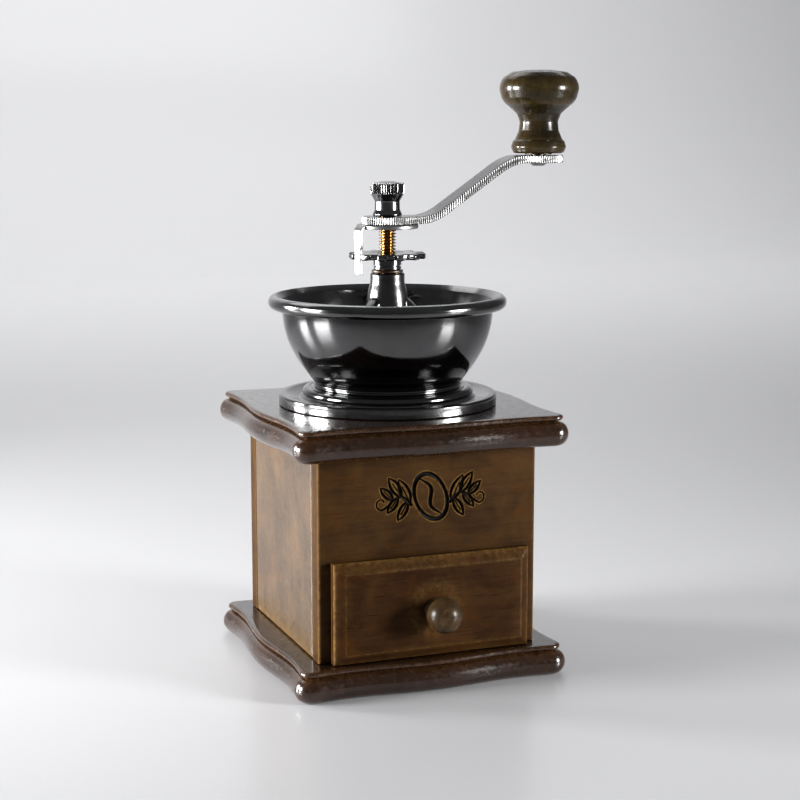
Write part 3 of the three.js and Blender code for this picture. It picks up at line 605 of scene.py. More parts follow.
def front_panel():
    low, high = span("front_panel")
    doorway_half = -span("drawer_left")[0][0] + 0.3
    doorway_top = span("drawer_left")[1][2] + 0.9
    cx, cz = ORNAMENT_CENTRE
    dense_x = np.arange(cx - ORNAMENT_HALF[0], cx + ORNAMENT_HALF[0], ORNAMENT_PITCH)
    dense_z = np.arange(cz - ORNAMENT_HALF[1], cz + ORNAMENT_HALF[1], ORNAMENT_PITCH)
    us = edge_lines(low[0], high[0], PANEL_EDGE, extra=(*dense_x, -doorway_half, doorway_half))
    vs = edge_lines(low[2], high[2], PANEL_EDGE, extra=(*dense_z, doorway_top))
    u, v = np.meshgrid(us, vs)
    depth, rim, dark = ornament_depth(u, v)
    shape, wear, kept = board(
        us, vs, high[1] - low[1], PANEL_EDGE,
        place=lambda a, b, w: (a, high[1] - w, b),
        hole=lambda a, b: (np.abs(a) < doorway_half) & (b < doorway_top),
        relief=lambda a, b, d: depth,
        rubbed=0.4)
    blank = np.zeros(3 * u.size)
    wear = np.maximum(wear, np.concatenate([rim.ravel(), blank])[kept])
    # Painted shade in the ornament's grooves, darker where they are deeper.
    groove_shade = np.concatenate([dark.ravel(), blank])[kept]
    make_piece("front_board", shape, "front_wood", ["front_panel"], wear=wear, groove_shade=groove_shade)


def plain_board(name, node, material, axis, radius=PANEL_EDGE, face=1, foot_wear=0.0):
    """A board with its face across an axis. face is 1 or -1, the side that the face looks to."""
    low, high = span(node)
    others = [i for i in range(3) if i != axis]
    us = edge_lines(low[others[0]], high[others[0]], radius)
    vs = edge_lines(low[others[1]], high[others[1]], radius)

    def place(a, b, w):
        columns = [None, None, None]
        columns[others[0]], columns[others[1]] = a, b
        columns[axis] = low[axis] + w if face > 0 else high[axis] - w
        return columns

    shape, wear, _ = board(us, vs, high[axis] - low[axis], radius, place, rubbed=0.2)
    if foot_wear:
        above_foot = shape[0][:, 2] - low[2]
        wear = np.maximum(wear, foot_wear * np.exp(-above_foot / 2.2))
    make_piece(name, shape, material, [node], wear=wear)


front_panel()
plain_board("back_board", "back_panel", "front_wood", Y)
plain_board("left_board", "left_panel", "side_wood", X, face=-1, foot_wear=0.9)
plain_board("right_board", "right_panel", "side_wood", X, foot_wear=0.9)


# ---------- drawer

def drawer_front():
    low, high = span("drawer_front")
    rise, bevel, edge = 2.1, 3.6, 0.7
    steps = [bevel * t for t in (0.3, 0.6, 0.88, 0.94, 1.0, 1.06, 1.12)]
    us, vs = [
        edge_lines(low[i], high[i], edge,
                   [*(low[i] + s for s in steps), *(high[i] - s for s in steps), *dense])
        for i, dense in ((0, np.arange(-14, 14.1, 1.0)), (2, np.arange(16, 42.1, 1.0)))]

    def relief(u, v, from_edge):
        slope = np.clip(from_edge / bevel, 0, 1.12)
        return rise * (1 - np.minimum(slope, 1.0)) + 0.12 * np.exp(-((slope - 1) / 0.07) ** 2)

    shape, wear, kept = board(
        us, vs, high[1] - low[1], edge,
        place=lambda a, b, w: (a, high[1] - w, b),
        relief=relief)
    u, v = np.meshgrid(us, vs)
    inside = edge_distance(us, vs).ravel()
    arris = 0.35 * np.exp(-((inside - bevel) / 0.35) ** 2) + 0.3 * np.exp(-(inside / 1.2) ** 2)
    top = 0.16 * ((high[2] - v.ravel()) < bevel)
    knob_x, knob_z = middle_of("drawer_knob")[[0, 2]]
    from_knob = np.hypot(u.ravel() - knob_x, v.ravel() - knob_z)
    rubbed = 0.3 * np.exp(-((from_knob - 8.0) / 2.4) ** 2)
    wear = np.maximum(wear, np.concatenate([arris + top + rubbed, np.zeros(3 * u.size)])[kept])
    make_piece("drawer_face", shape, "drawer_wood", ["drawer_front"], wear=wear)


def turned_along_y(node, profile, segments):
    """Turns (r, distance) points round the node's own Y axis, the distance counted forward from its back."""
    vertices, faces = turned(profile, segments)
    x, _, z = middle_of(node)
    back = span(node)[1][1]
    return np.column_stack([vertices[:, 0] + x, back - vertices[:, 2], vertices[:, 1] + z]), faces


def drawer_pull():
    low, high = span("drawer_knob")
    radius, length = (high[0] - low[0]) / 2, high[1] - low[1]
    centre = length - radius
    neck = (0.62 * radius, centre - 0.8 * radius)
    profile = [(0, 0), (3.9, 0), *rounded([(4.1, 0.3), (3.6, 0.8, 0.4), (3.4, 1.7, 0.8), neck])]
    profile += arc((0, centre), radius, -51, 86, 22) + [(0, length)]
    shape = turned_along_y("drawer_knob", profile, 72)
    forward = high[1] - shape[0][:, 1]
    wear = 0.35 * np.exp(-np.abs(forward - centre) / 1.4) + 0.3 * (forward > length - 1.2)
    make_piece("drawer_pull", shape, "pull_wood", ["drawer_knob"], wear=wear)


def drawer_screw():
    low, high = span("drawer_knob_screw")
    length = high[1] - low[1]
    profile = [(0, 0), (3.1, 0, 0.9), (3.2, 2.0, 0.1), (1.5, 2.0, 0.1), (1.5, length), (0, length)]
    shape = turned_along_y("drawer_knob_screw", rounded(profile), 40)
    make_piece("pull_screw", shape, "zinc_steel", ["drawer_knob_screw"])


drawer_front()
drawer_pull()
drawer_screw()
plain_board("drawer_left_wall", "drawer_left", "raw_wood", X, 0.5)
plain_board("drawer_right_wall", "drawer_right", "raw_wood", X, 0.5)
plain_board("drawer_back_wall", "drawer_back", "raw_wood_cross", Y, 0.5)
plain_board("drawer_floor", "drawer_bottom", "raw_wood_cross", Z, 0.4)


# ---------- hopper bowl

def hopper_bowl():
    low, high = span("hopper_bowl")
    base, rim_radius = low[2], 2.4
    mouth = high[0] - 2 * rim_radius - 0.1
    top = high[2] - base
    mouth_height = top - 2 * rim_radius
    wall, throat = 2.0, 15.5
    flange = rounded([
        (throat, 0, 0.2), (39.0, 0, 0.3), (39.0, 3.85, 0.9), (36.6, 3.8, 2.2), (31.4, 2.0, 1.2), (30.6, 3.4)])
    bead = arc((28.6, 4.15), 2.0, -20, 118, 14)
    neck = rounded([
        (27.4, 6.15), (26.15, 6.35, 0.3), (26.1, 6.95, 0.2), (26.7, 7.05, 0.15), (26.7, 7.6, 0.2),
        (26.2, 7.75)], 3)
    outside = bezier((26.3, 7.9), (30.8, 13.9), (mouth - 0.3, mouth_height - 13), (mouth, mouth_height), 30)
    rim = arc((mouth + rim_radius + 0.1, mouth_height + rim_radius), rim_radius, -88, 96, 20)
    lip = rounded([rim[-1], (mouth + 0.2, top - 1.9, 1.2), (mouth - 1.9, mouth_height - 3)])
    inner = [(r - wall, z) for r, z in reversed(outside)][3:]
    floor = rounded([inner[-1], (24.1, 3.4, 1.2), (throat + 0.8, 2.8, 0.4), (throat, 2.2)])
    profile = [*flange, *bead, *neck, *outside, *rim, *lip[1:-1], *inner, *floor[1:]]
    shape = turned(profile, 160, (0, 0, base))
    heights = shape[0][:, 2] - base
    wear = 0.6 * np.exp(-np.abs(heights - top) / 1.0) + 0.4 * (heights < 3.2)
    make_piece("hopper", shape, "black_nickel", ["hopper_bowl"], wear=wear)


hopper_bowl()


# ---------- bearing bridge, bolts and burrs

def remesh(piece, voxel, smooth):
    """Melts a piece's overlapping parts into one casting with soft inner corners."""
    bpy.context.view_layer.update()
    steps = (("Remesh", "REMESH", {"mode": "VOXEL", "voxel_size": voxel * MM}),
             ("Smooth", "SMOOTH", {"factor": 0.6, "iterations": smooth}))
    for label, kind, settings in steps:
        modifier = piece.modifiers.new(label, kind)
        for key, value in settings.items():
            setattr(modifier, key, value)
    evaluated = piece.evaluated_get(bpy.context.evaluated_depsgraph_get())
    mesh = bpy.data.meshes.new_from_object(evaluated)
    piece.modifiers.clear()
    material = piece.data.materials[0]
    piece.data = mesh
    mesh.materials.clear()
    mesh.materials.append(material)
    mesh.shade_smooth()


def bolt_places():
    """Number, angle and distance from the axis of every bridge bolt, from the frame."""
    for number in (1, 2, 3):
        x, y, _ = middle_of(f"bridge_bolt_{number}")
        yield number, math.atan2(y, x), math.hypot(x, y)


def spun(shape, angle):
    vertices, faces = shape
    turn = np.array(Matrix.Rotation(angle, 3, "Z"))
    return np.asarray(vertices) @ turn.T, faces


def with_normals(points):
    """Every (r, z) point of a line with its unit normal."""
    points = [np.array(p, float) for p in points]
    for i, point in enumerate(points):
        ahead = points[min(i + 1, len(points) - 1)] - points[max(i - 1, 0)]
        ahead = ahead / np.linalg.norm(ahead)
        yield point, np.array([-ahead[1], ahead[0]])


def bar_along(points, width, depth):
    """A bar of rounded section through (r, z) points, lying in the plane y = 0."""
    rings = []
    for point, normal in with_normals(points):
        ring = []
        for a in np.linspace(0, TAU, 24, endpoint=False):
            c, s = math.cos(a), math.sin(a)
            across = width / 2 * math.copysign(abs(c) ** 0.5, c)
            out = depth / 2 * math.copysign(abs(s) ** 0.5, s)
            place = point + normal * out
            ring.append((place[0], across, place[1]))
        rings.append(np.array(ring))
    return skin(rings)


def bearing_bridge():
    low, high = span("bearing_bridge")
    bush_low, bush_high = span("shaft_bush")
    base, top = low[2], high[2]
    hub_base = bush_low[2] - 0.2
    bore = bush_high[0] + 0.1
    hub = rounded([(bore, hub_base), (8.6, hub_base, 1.0), (9.3, hub_base + 3, 2), (6.8, top - 6, 2),
                   (6.15, top - 3.6, 0.8), (6.15, top, 0.5), (bore, top)])
    parts = [turned(hub, 64)]
    for number, angle, reach in bolt_places():
        leg = bezier((reach - 6.9, base + 1.0), (reach - 6.8, hub_base - 4), (reach - 6.6, hub_base + 6),
                     (bore + 1.6, top - 10.5), 22)
        parts.append(spun(bar_along(leg, 5.4, 3.3), angle))
        foot = rounded([(0, 0), (3.7, 0, 0.4), (3.7, 3.2, 0.7), (0, 3.2)], 4)
        pad = turned(foot, 40, (reach - 0.6, 0, base + 0.1))
        web = bar_along([(reach - 8.2, base + 1.75), (reach + 0.5, base + 1.75)], 5.4, 3.1)
        parts += [spun(pad, angle), spun(web, angle)]
    piece = make_piece("bridge_casting", merge(*parts), "cast_iron", ["bearing_bridge"])
    remesh(piece, 0.42, 4)


def hex_bar(across, low, high, chamfer=0.5):
    """A hexagonal bar with chamfered ends: the chamfer's cone cuts its corners back."""
    def flat(a):
        return (across / 2) / math.cos((a + math.pi / 6) % (math.pi / 3) - math.pi / 6)

    def cut(a):
        return min(flat(a), across / math.sqrt(3) - chamfer)

    levels = ((low, cut), (low + chamfer * 0.55, flat), (high - chamfer * 0.55, flat), (high, cut))
    rings = [polar_ring(reach, z, 72) for z, reach in levels]
    rings.append(rings[-1] * np.array([0.55, 0.55, 1]))
    return skin(rings)


def bridge_fixings():
    for number, angle, reach in bolt_places():
        low, high = span(f"bridge_bolt_{number}")
        head_base = high[2] - 2.8
        shank_top = head_base + 0.5
        shank = [(0, low[2]), (1.7, low[2], 0.2), (1.9, low[2] + 0.5), (1.9, shank_top), (0, shank_top)]
        bolt = merge(hex_bar(7.0, head_base, high[2] - 0.1), turned(rounded(shank), 32))
        nut_low, nut_high = span(f"bridge_nut_{number}")
        nut = hex_bar(7.0, nut_low[2], nut_high[2])
        for kind, shape in (("bolt", bolt), ("nut", nut)):
            placed = spun(on_centre(shape, reach, 0, 0), angle)
            make_piece(f"{kind}_{number}", placed, "zinc_steel", [f"bridge_{kind}_{number}"])


def outer_burr():
    low, high = span("outer_burr")
    foot, top = low[2], high[2]
    waist = foot + 11
    shelf = top - 2.8
    profile = rounded([(14.0, foot), (16.2, foot, 0.4), (16.2, shelf), (25.0, shelf, 0.2), (25.0, top, 0.3),
                       (14.9, top, 0.5), (11.4, waist, 2), (13.05, foot + 4), (14.0, foot)])[:-1]

    def toothed(angle, r, z):
        if r >= 15.6 or z <= foot + 0.5:
            return 1.0
        return 1 - 0.02 * max(0, math.sin(24 * angle + 0.16 * (z - foot)))

    make_piece("burr_ring", turned(profile, 192, ripple=toothed), "burr_steel", ["outer_burr"], sharp=30)


def inner_burr():
    """A cone with winding teeth and a plain bore."""
    low, high = span("inner_burr")
    base, top = low[2], high[2]
    foot, crown, bore = high[0] - 0.1, 7.0, 2.9
    teeth, twist, segments = 14, math.radians(50), 168
    rings = []
    for t in np.linspace(0, 1, 26):
        def grooved(a):
            phase = (teeth * (a - twist * t) / TAU) % 1.0
            groove = 0.95 * (1 - abs(2 * phase - 1)) ** 0.8
            return foot + (crown - foot) * t - groove * (1 - 0.5 * t)

        rings.append(polar_ring(grooved, base + (top - base) * t, segments))
    rings += [polar_ring(bore, top, segments), polar_ring(bore, base, segments)]
    make_piece("burr_cone", skin(rings, looped=True), "burr_steel", ["inner_burr"], sharp=30)


def burr_spring():
    low, high = span("burr_spring")
    wire, turns, sides = 0.6, 6, 14
    lift_of_burr = 0.4
    radius = (high[0] - low[0]) / 2 - wire
    bottom, top = low[2] + lift_of_burr + wire, high[2] - wire
    rings = []
    steps = turns * 40
    for k in range(steps + 1):
        t = k / steps
        a = TAU * turns * t
        settle = t - math.sin(TAU * t) / TAU * 0.45
        z = bottom + (top - bottom) * settle
        ring = []
        for s in range(sides):
            b = TAU * s / sides
            r = radius + wire * math.cos(b)
            ring.append((r * math.cos(a), r * math.sin(a), z + wire * math.sin(b)))
        rings.append(np.array(ring))
    make_piece("spring_wire", skin(rings), "zinc_steel", ["burr_spring"])


bearing_bridge()
bridge_fixings()
outer_burr()
inner_burr()
burr_spring()


# ---------- spindle, adjusting nut and lock clip

def plain_ring(name, node, inner, material, edge=0.15):
    low, high = span(node)
    x, y, middle = middle_of(node)
    outer = (high[0] - low[0]) / 2
    profile = rounded([(inner, middle), (inner, low[2], edge), (outer, low[2], 0.2), (outer, high[2], 0.2),
                       (inner, high[2], edge), (inner, middle)], 4)[:-1]
    make_piece(name, turned(profile, 64, (x, y, 0)), material, [node])


def spindle():
    """The spindle, with a real thread on its upper part."""
    low, high = span("spindle_shaft")
    pitch, crest, root = 1.08, 3.15, 2.2
    burr_top = span("inner_burr")[1][2]
    shank_top = span("shaft_bush")[1][2] - 2.3
    segments = 48

    def thread(z):
        def flank(a):
            phase = (z / pitch - a / TAU) % 1.0
            share = min(1.0, max(0.0, (abs(2 * phase - 1) - 0.2) / 0.66))
            return root + (crest - root) * share
        return flank

    stations = [(low[2], 2.5), (low[2] + 0.5, 2.9), (burr_top, 2.9), (burr_top + 0.2, 3.75),
                (shank_top - 0.4, 3.75), (shank_top, 3.4)]
    stations += [(z, thread(z)) for z in np.arange(shank_top + 0.05, high[2] - 0.4, pitch / 12)]
    stations += [(high[2] - 0.2, 2.5), (high[2], 2.2)]
    rings = [polar_ring(reach, z, segments) for z, reach in stations]
    make_piece("spindle_rod", skin(rings), "brass", ["spindle_shaft"], sharp=50)


NUT = {"notches": 12, "depth": 2.8, "width": 4.0, "disc": 2.1, "corner": 0.45, "boss": 5.0, "bore": 3.35}


def adjusting_nut():
    """A notched disc on a round boss with a groove."""
    low, high = span("adjusting_nut")
    outer, boss, bore, corner = high[0], NUT["boss"], NUT["bore"], NUT["corner"]
    foot, top = low[2], high[2]
    disc = top - NUT["disc"]

    def notched(inset):
        """The radius of the disc's rim at an angle, drawn in by a distance."""
        def reach(a):
            step = TAU / NUT["notches"]
            across = abs(outer * math.sin(a % step - step / 2))
            t = (across - NUT["width"] / 2 - inset + corner) / (2 * corner)
            t = min(1.0, max(0.0, t))
            return outer - inset - NUT["depth"] * (1 - t * t * (3 - 2 * t))
        return reach

    stations = [
        (bore, foot), (boss - 0.5, foot), (boss - 0.1, foot + 0.25), (boss - 0.1, foot + 1.0),
        (boss - 0.45, foot + 1.15), (boss - 0.45, foot + 1.45), (boss, foot + 1.6), (boss, disc - 0.3),
        (boss + 0.4, disc), (notched(0.5), disc), (notched(0.14), disc + 0.14), (notched(0), disc + 0.5),
        (notched(0), top - 0.5), (notched(0.14), top - 0.14), (notched(0.5), top), (6.4, top),
        (6.0, top - 0.2), (bore + 0.5, top - 0.2), (bore, top - 0.7)]
    rings = [polar_ring(reach, z, 720) for reach, z in stations]
    make_piece("notched_nut", skin(rings, looped=True), "dark_chrome", ["adjusting_nut"], sharp=35)


CLIP = {"radius": 11.0, "thick": 1.3, "angle": 195, "reach": 13.1, "wide": 4.3, "narrow": 3.4, "bend": 1.7,
        "edge": 0.25}


def tongue_section(half):
    """(across, out) points round the tongue's section, a flat bar with rounded corners."""
    edge = CLIP["edge"]
    corners = ((-half, -1), (half, -1), (half, 1), (-half, 1))
    section = []
    for k, (across, side) in enumerate(corners):
        centre = (across - math.copysign(edge, across), side * (CLIP["thick"] / 2 - edge))
        section += arc(centre, edge, 90 * k - 180, 90 * k - 90, 3)
    return section


def clip_tongue(low, high):
    """The strip bent down from the plate's edge. Its lower part is narrower, to enter a notch."""
    flat, out = high - CLIP["thick"] / 2, CLIP["reach"] - CLIP["thick"] / 2
    bend = CLIP["bend"]
    shoulder = span("adjusting_nut")[1][2] + 1.6
    middle = [(8.0, flat), (out - bend, flat), *arc((out - bend, flat - bend), bend, 80, 0, 9)]
    heights = (shoulder + 2.3, shoulder + 0.8, shoulder + 0.2, shoulder - 0.5, shoulder - 2.2,
               shoulder - 5.2, shoulder - 7.7, low + 0.15, low)
    middle += [(out, z) for z in heights]
    rings = []
    for point, normal in with_normals(middle):
        share = min(1.0, max(0.0, point[1] - shoulder))
        half = (CLIP["narrow"] + (CLIP["wide"] - CLIP["narrow"]) * share) / 2
        if point[1] == low:
            half -= 0.15
        ring = []
        for across, outward in tongue_section(half):
            place = point - normal * outward
            ring.append((place[0], across, place[1]))
        rings.append(np.array(ring))
    return skin(rings)


def lock_clip():
    """A stamped round plate with one tongue bent down at its edge."""
    low, high = span("lock_clip")
    plate_low, plate_high, radius = high[2] - CLIP["thick"], high[2], CLIP["radius"]
    profile = [(0, plate_low), (radius, plate_low, 0.25), (radius, plate_high, 0.35), (0, plate_high)]
    disc = turned(rounded(profile, 4), 120)
    tongue = spun(clip_tongue(low[2], high[2]), math.radians(CLIP["angle"]))
    make_piece("clip_plate", merge(disc, tongue), "zinc_steel", ["lock_clip"], sharp=35)


spindle()
plain_ring("thrust_ring", "thrust_washer", 3.2, "dark_bronze", 0.1)
adjusting_nut()
lock_clip()


# ---------- crank arm, cap nut and knob

CRANK = {"reach": 58.8, "hub": 9.0, "end": 9.0, "width": 10.0, "thick": 2.7,
         "rise": 21.0, "from": 16.0, "to": 46.9, "bend": 10.0}


def arm_rise(x):
    """Height of the arm's middle line above its hub: level, one slope with eased bends, level again."""
    half = CRANK["bend"] / 2

    def eased(t):
        if t < -half:
            return 0.0
        return t if t > half else (t + half) ** 2 / (4 * half)

    grade = CRANK["rise"] / (CRANK["to"] - CRANK["from"])
    return grade * (eased(x - CRANK["from"]) - eased(x - CRANK["to"]))


def arm_half_outline():
    """(x, y) points down one side of the arm, from the hub's far end to the knob's far end."""
    hub, end, reach, half = CRANK["hub"], CRANK["end"], CRANK["reach"], CRANK["width"] / 2
    lean = math.pi / 3
    side = arc((0, 0), hub, 180, math.degrees(lean), 60)
    side += bezier(side[-1], (hub * 1.1, half), (reach * 0.3, half), (reach * 0.5, half), 60)[1:]
    side += bezier(side[-1], (reach * 0.7, half), (reach - end * 1.1, half),
                   (reach - end * math.cos(lean), end * math.sin(lean)), 60)[1:]
    side += arc((reach, 0), end, 180 - math.degrees(lean), 0, 60)[1:]
    return np.array([tuple(p) for p in side])


def resampled(line, pitch):
    lengths = np.concatenate([[0], np.cumsum(np.linalg.norm(np.diff(line, axis=0), axis=1))])
    count = int(lengths[-1] / pitch)
    at = np.linspace(0, lengths[-1], count + 1)
    return np.column_stack([np.interp(at, lengths, line[:, 0]), np.interp(at, lengths, line[:, 1])]), at


def crank_arm():
    """The flat bar, bent up along its length, with fine teeth rolled into its edges."""
    low, high = span("crank_arm")
    middle = low[2] + CRANK["thick"] / 2
    tooth, depth, edge = 0.85, 0.26, 0.35
    line, at = resampled(arm_half_outline(), tooth / 6)
    ahead = np.gradient(line, axis=0)
    ahead /= np.linalg.norm(ahead, axis=1)[:, None]
    outward = np.column_stack([-ahead[:, 1], ahead[:, 0]])
    outward[0], outward[-1] = (-1, 0), (1, 0)
    teeth = 0.5 - 0.5 * np.cos(TAU * at / tooth)
    half = CRANK["thick"] / 2
    levels = [(edge, half, 0.0), (0.12, half - 0.1, 0.3), (0.0, half - edge, 1.0), (0.0, 0.0, 1.0),
              (0.0, -half + edge, 1.0), (0.12, -half + 0.1, 0.3), (edge, -half, 0.0)]
    columns = np.array([-0.72, -0.36, 0.0, 0.36, 0.72])
    slopes = np.array([(arm_rise(x + 0.05) - arm_rise(x - 0.05)) / 0.1 for x in line[:, 0]])

    def station(inset, lift, toothed, sign):
        points = line - outward * (inset + depth * teeth * toothed)[:, None]
        points = np.column_stack([points[:, 0], sign * np.maximum(points[:, 1], 0.0)])
        rise = np.array([arm_rise(x) for x in points[:, 0]])
        return np.column_stack([points, middle + rise + lift * np.hypot(1, slopes)])

    count = len(line)
    near, far = [[station(np.full(count, inset), lift, toothed, sign) for inset, lift, toothed in levels]
                 for sign in (1, -1)]
    under = [near[-1] * np.array([1, c, 1]) for c in columns[::-1]]
    over = [near[0] * np.array([1, c, 1]) for c in columns]
    rows = np.array([*near, *under, *far[::-1], *over])
    # Wear on the toothed edges, partly real rubbing and partly painted sheen: the paler rubbed colour makes
    # the side edges read brighter than the top face.
    edge_wear_and_sheen = [0.6 * toothed for inset, lift, toothed in levels]
    flat_wear = [0.0] * len(columns)
    wear = np.array(edge_wear_and_sheen + flat_wear + edge_wear_and_sheen[::-1] + flat_wear)
    piece = make_piece("crank_bar", skin(rows.transpose(1, 0, 2)), "crank_chrome", ["crank_arm"],
                       sharp=32, wear=np.tile(wear, count))
    work = bmesh.new()
    work.from_mesh(piece.data)
    bmesh.ops.remove_doubles(work, verts=work.verts, dist=0.02 * MM)
    bmesh.ops.recalc_face_normals(work, faces=work.faces)
    work.to_mesh(piece.data)
    work.free()


def cap_nut():
    """The domed nut: flared foot, waist, chamfer and a straight-knurled head."""
    low, high = span("cap_nut")
    base, height = low[2], high[2] - low[2]
    head = high[0]
    knurl_low, knurl_high = 0.655 * height, 0.915 * height
    foot = rounded([
        (0, 0), (5.1, 0, 0.25), (5.2, 0.7, 0.3), (4.5, 0.17 * height, 0.9), (4.4, 0.42 * height, 1.2),
        (head - 0.55, 0.575 * height, 0.4)], 8)[:-1]
    ring = [(head - 0.4, 0.6 * height), (head - 0.15, knurl_low - 0.2)]
    ring += [(head, z) for z in np.linspace(knurl_low, knurl_high, 6)]
    dome = rounded([
        (head, knurl_high), (head - 0.5, knurl_high + 0.45, 0.3), (head - 1.1, knurl_high + 0.55, 0.3),
        (head - 1.5, 0.955 * height, 0.4), (2.4, 0.995 * height, 2.0), (0, height)])[1:]

    def knurled(angle, r, z):
        within = knurl_low - 0.15 < z < knurl_high + 0.1
        return 1 - (0.08 * (0.5 - 0.5 * math.cos(44 * angle)) if within else 0)

    shape = turned([*foot, *ring, *dome], 320, (0, 0, base), knurled)
    make_piece("cap_nut_head", shape, "dark_chrome", ["cap_nut"], sharp=40)


# (radius, share of the height, rounding) up the knob: foot with two beads, neck, step and mushroom top.
KNOB_PROFILE = (
    (8.7, 0, 0.6), (9.4, 0.02, 0.5), (10.0, 0.075, 1.2), (9.4, 0.145, 0.8), (8.7, 0.165, 0.25),
    (8.4, 0.185, 0.2), (8.2, 0.2, 0.3), (7.3, 0.27, 2.0), (6.9, 0.38, 3.0), (8.0, 0.475, 3.0),
    (10.8, 0.56, 2.0), (12.1, 0.592, 0.4), (12.5, 0.606, 0.3), (13.6, 0.66, 2.5), (14.65, 0.79, 6.0),
    (13.3, 0.905, 4.0), (10.0, 0.975, 4.0), (4.5, 0.998, 3.0))
# (share of the height, width, wear) of the places that the hand or the lathe has rubbed.
KNOB_WEAR = ((0.6, 0.012, 0.5), (0.175, 0.012, 0.35), (0.06, 0.03, 0.25), (0.8, 0.06, 0.25))


def crank_knob():
    low, high = span("crank_knob")
    x, base, height = middle_of("crank_knob")[0], low[2], high[2] - low[2]
    sleeve_low, sleeve_high = span("knob_sleeve")
    bore = (sleeve_high[0] - sleeve_low[0]) / 2 + 0.15
    bore_top = span("knob_pin")[1][2] + 0.5 - base
    outside = [(r, share * height, rounding) for r, share, rounding in KNOB_PROFILE]
    profile = [(0, bore_top), (bore, bore_top), *rounded([(bore, 0), *outside, (0, height)], 8)]
    shape = turned(profile, 128, (x, 0, base))
    shares = (shape[0][:, 2] - base) / height
    wear = sum(most * np.exp(-((shares - place) / width) ** 2) for place, width, most in KNOB_WEAR)
    make_piece("turned_knob", shape, "knob_wood", ["crank_knob"], wear=wear)


def knob_pin():
    low, high = span("knob_pin")
    x = middle_of("knob_pin")[0]
    arm_top = span("crank_arm")[1][2]
    arm_base = arm_top - CRANK["thick"]
    seat, head, top = arm_top + 0.1, high[2] - 1.6, high[2]
    profile = rounded([
        (0, low[2]), (2.0, low[2] + 0.05, 1.0), (3.3, arm_base - 0.15, 0.5), (3.3, arm_base, 0.1),
        (2.3, arm_base, 0.1), (2.3, seat, 0.05), (3.0, seat, 0.1), (3.0, head, 0.1), (4.2, head, 0.2),
        (4.2, top, 0.3), (0, top)], 5)
    make_piece("rivet_pin", turned(profile, 56, (x, 0, 0)), "zinc_steel", ["knob_pin"])


crank_arm()
cap_nut()
crank_knob()
knob_pin()


# ---------- small hidden pieces

def base_screws():
    """Wood screws with countersunk, dished heads, under the base plate."""
    def threaded(angle, r, z):
        return 1 - (0.16 * (0.5 + 0.5 * math.cos(angle - TAU * z / 1.3)) if r < 1.6 and z > 8 else 0)

    for number in (1, 2, 3, 4):
        node = f"base_screw_{number}"
        low, high = span(node)
        x, y, _ = middle_of(node)
        length = high[2] - low[2]
        outside = rounded([
            (3.35, 0), (3.35, 0.25, 0.1), (1.5, 2.6, 0.4), (1.5, 6.0), (1.25, length - 3.5), (0, length)], 4)
        shape = turned([(0, 1.3), *outside], 48, (x, y, low[2]), threaded)
        make_piece(f"wood_screw_{number}", shape, "zinc_steel", [node])


base_screws()
plain_ring("bush", "shaft_bush", 3.8, "brass")
plain_ring("sleeve", "knob_sleeve", 3.1, "dark_bronze")
plain_ring("burr_ring_washer", "burr_washer", 3.1, "zinc_steel")
nut_low, nut_high = span("burr_nut")
make_piece("burr_hex_nut", hex_bar(10.0, nut_low[2], nut_high[2]), "zinc_steel", ["burr_nut"])


# ---------- floor, light and camera

def place(name, data, where, direction):
    """Adds a lamp or camera that looks in a direction."""
    made = bpy.data.objects.new(name, data)
    made.location = where
    made.rotation_mode = "QUATERNION"
    made.rotation_quaternion = direction.to_track_quat("-Z", "Y")
    bpy.context.scene.collection.objects.link(made)
    return made


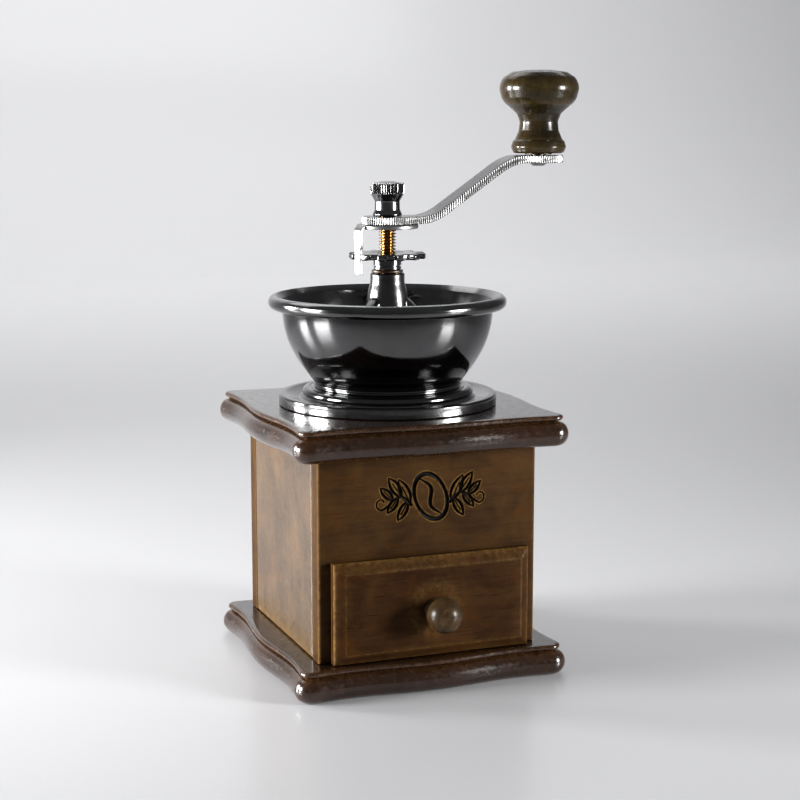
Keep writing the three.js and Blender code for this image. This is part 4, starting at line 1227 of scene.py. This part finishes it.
def backdrop():
    """A pale sweep: floor in front, curving up into a wall behind."""
    width, front, back, bend, height = 4.0, -2.2, 2.4, 0.9, 3.2
    profile = [(front, 0.0), *arc((back - bend, bend), bend, -90, 0, 16), (back, height)]
    vertices = [(x, y, z) for y, z in profile for x in (-width, width)]
    faces = [(2 * i, 2 * i + 1, 2 * i + 3, 2 * i + 2) for i in range(len(profile) - 1)]
    mesh = bpy.data.meshes.new("sweep")
    mesh.from_pydata(vertices, [], faces)
    mesh.shade_smooth()
    material, _, shader = new_material("pale_sweep")
    shader.inputs["Base Color"].default_value = srgb(190, 190, 192)
    shader.inputs["Roughness"].default_value = 0.26
    mesh.materials.append(material)
    sweep = bpy.data.objects.new("sweep", mesh)
    bpy.context.scene.collection.objects.link(sweep)


def area_light(name, where, aim, size, power, spread=180):
    light = bpy.data.lights.new(name, "AREA")
    light.shape = "RECTANGLE"
    light.size, light.size_y = size
    light.energy = power
    light.spread = math.radians(spread)
    place(name, light, where, Vector(aim) - Vector(where))


def lights():
    area_light("left_window_front", (-0.74, 0.08, 0.18), (0, 0.02, 0.12), (0.26, 0.27), 3.7, 90)
    area_light("left_window_back", (-0.62, 0.42, 0.18), (0, 0.02, 0.12), (0.16, 0.27), 2.3, 90)
    area_light("right_front", (0.56, -0.5, 0.2), (0, 0, 0.12), (0.2, 0.24), 2.3, 90)
    area_light("far_ceiling", (0.1, 1.5, 1.6), (0.1, 1.75, 0.1), (2.6, 1.4), 24.0)
    area_light("wall_wash", (0.5, 0.9, 1.5), (0.5, 2.4, 0.5), (2.0, 0.8), 27.0)
    world = bpy.data.worlds.new("studio")
    world.use_nodes = True
    background = world.node_tree.nodes["Background"]
    background.inputs["Color"].default_value = (0.5, 0.51, 0.53, 1)
    background.inputs["Strength"].default_value = 0.24
    bpy.context.scene.world = world


def camera():
    data = bpy.data.cameras.new("camera")
    data.lens, data.sensor_width = 78.9, 36.0
    azimuth, pitch = math.radians(-21.16), math.radians(9.28)
    level = math.cos(pitch)
    ahead = Vector((-math.sin(azimuth) * level, math.cos(azimuth) * level, -math.sin(pitch)))
    bpy.context.scene.camera = place("camera", data, (-0.2207, -0.5826, 0.1953), ahead)


backdrop()
lights()
camera()
bpy.context.scene.view_settings.view_transform = "Standard"
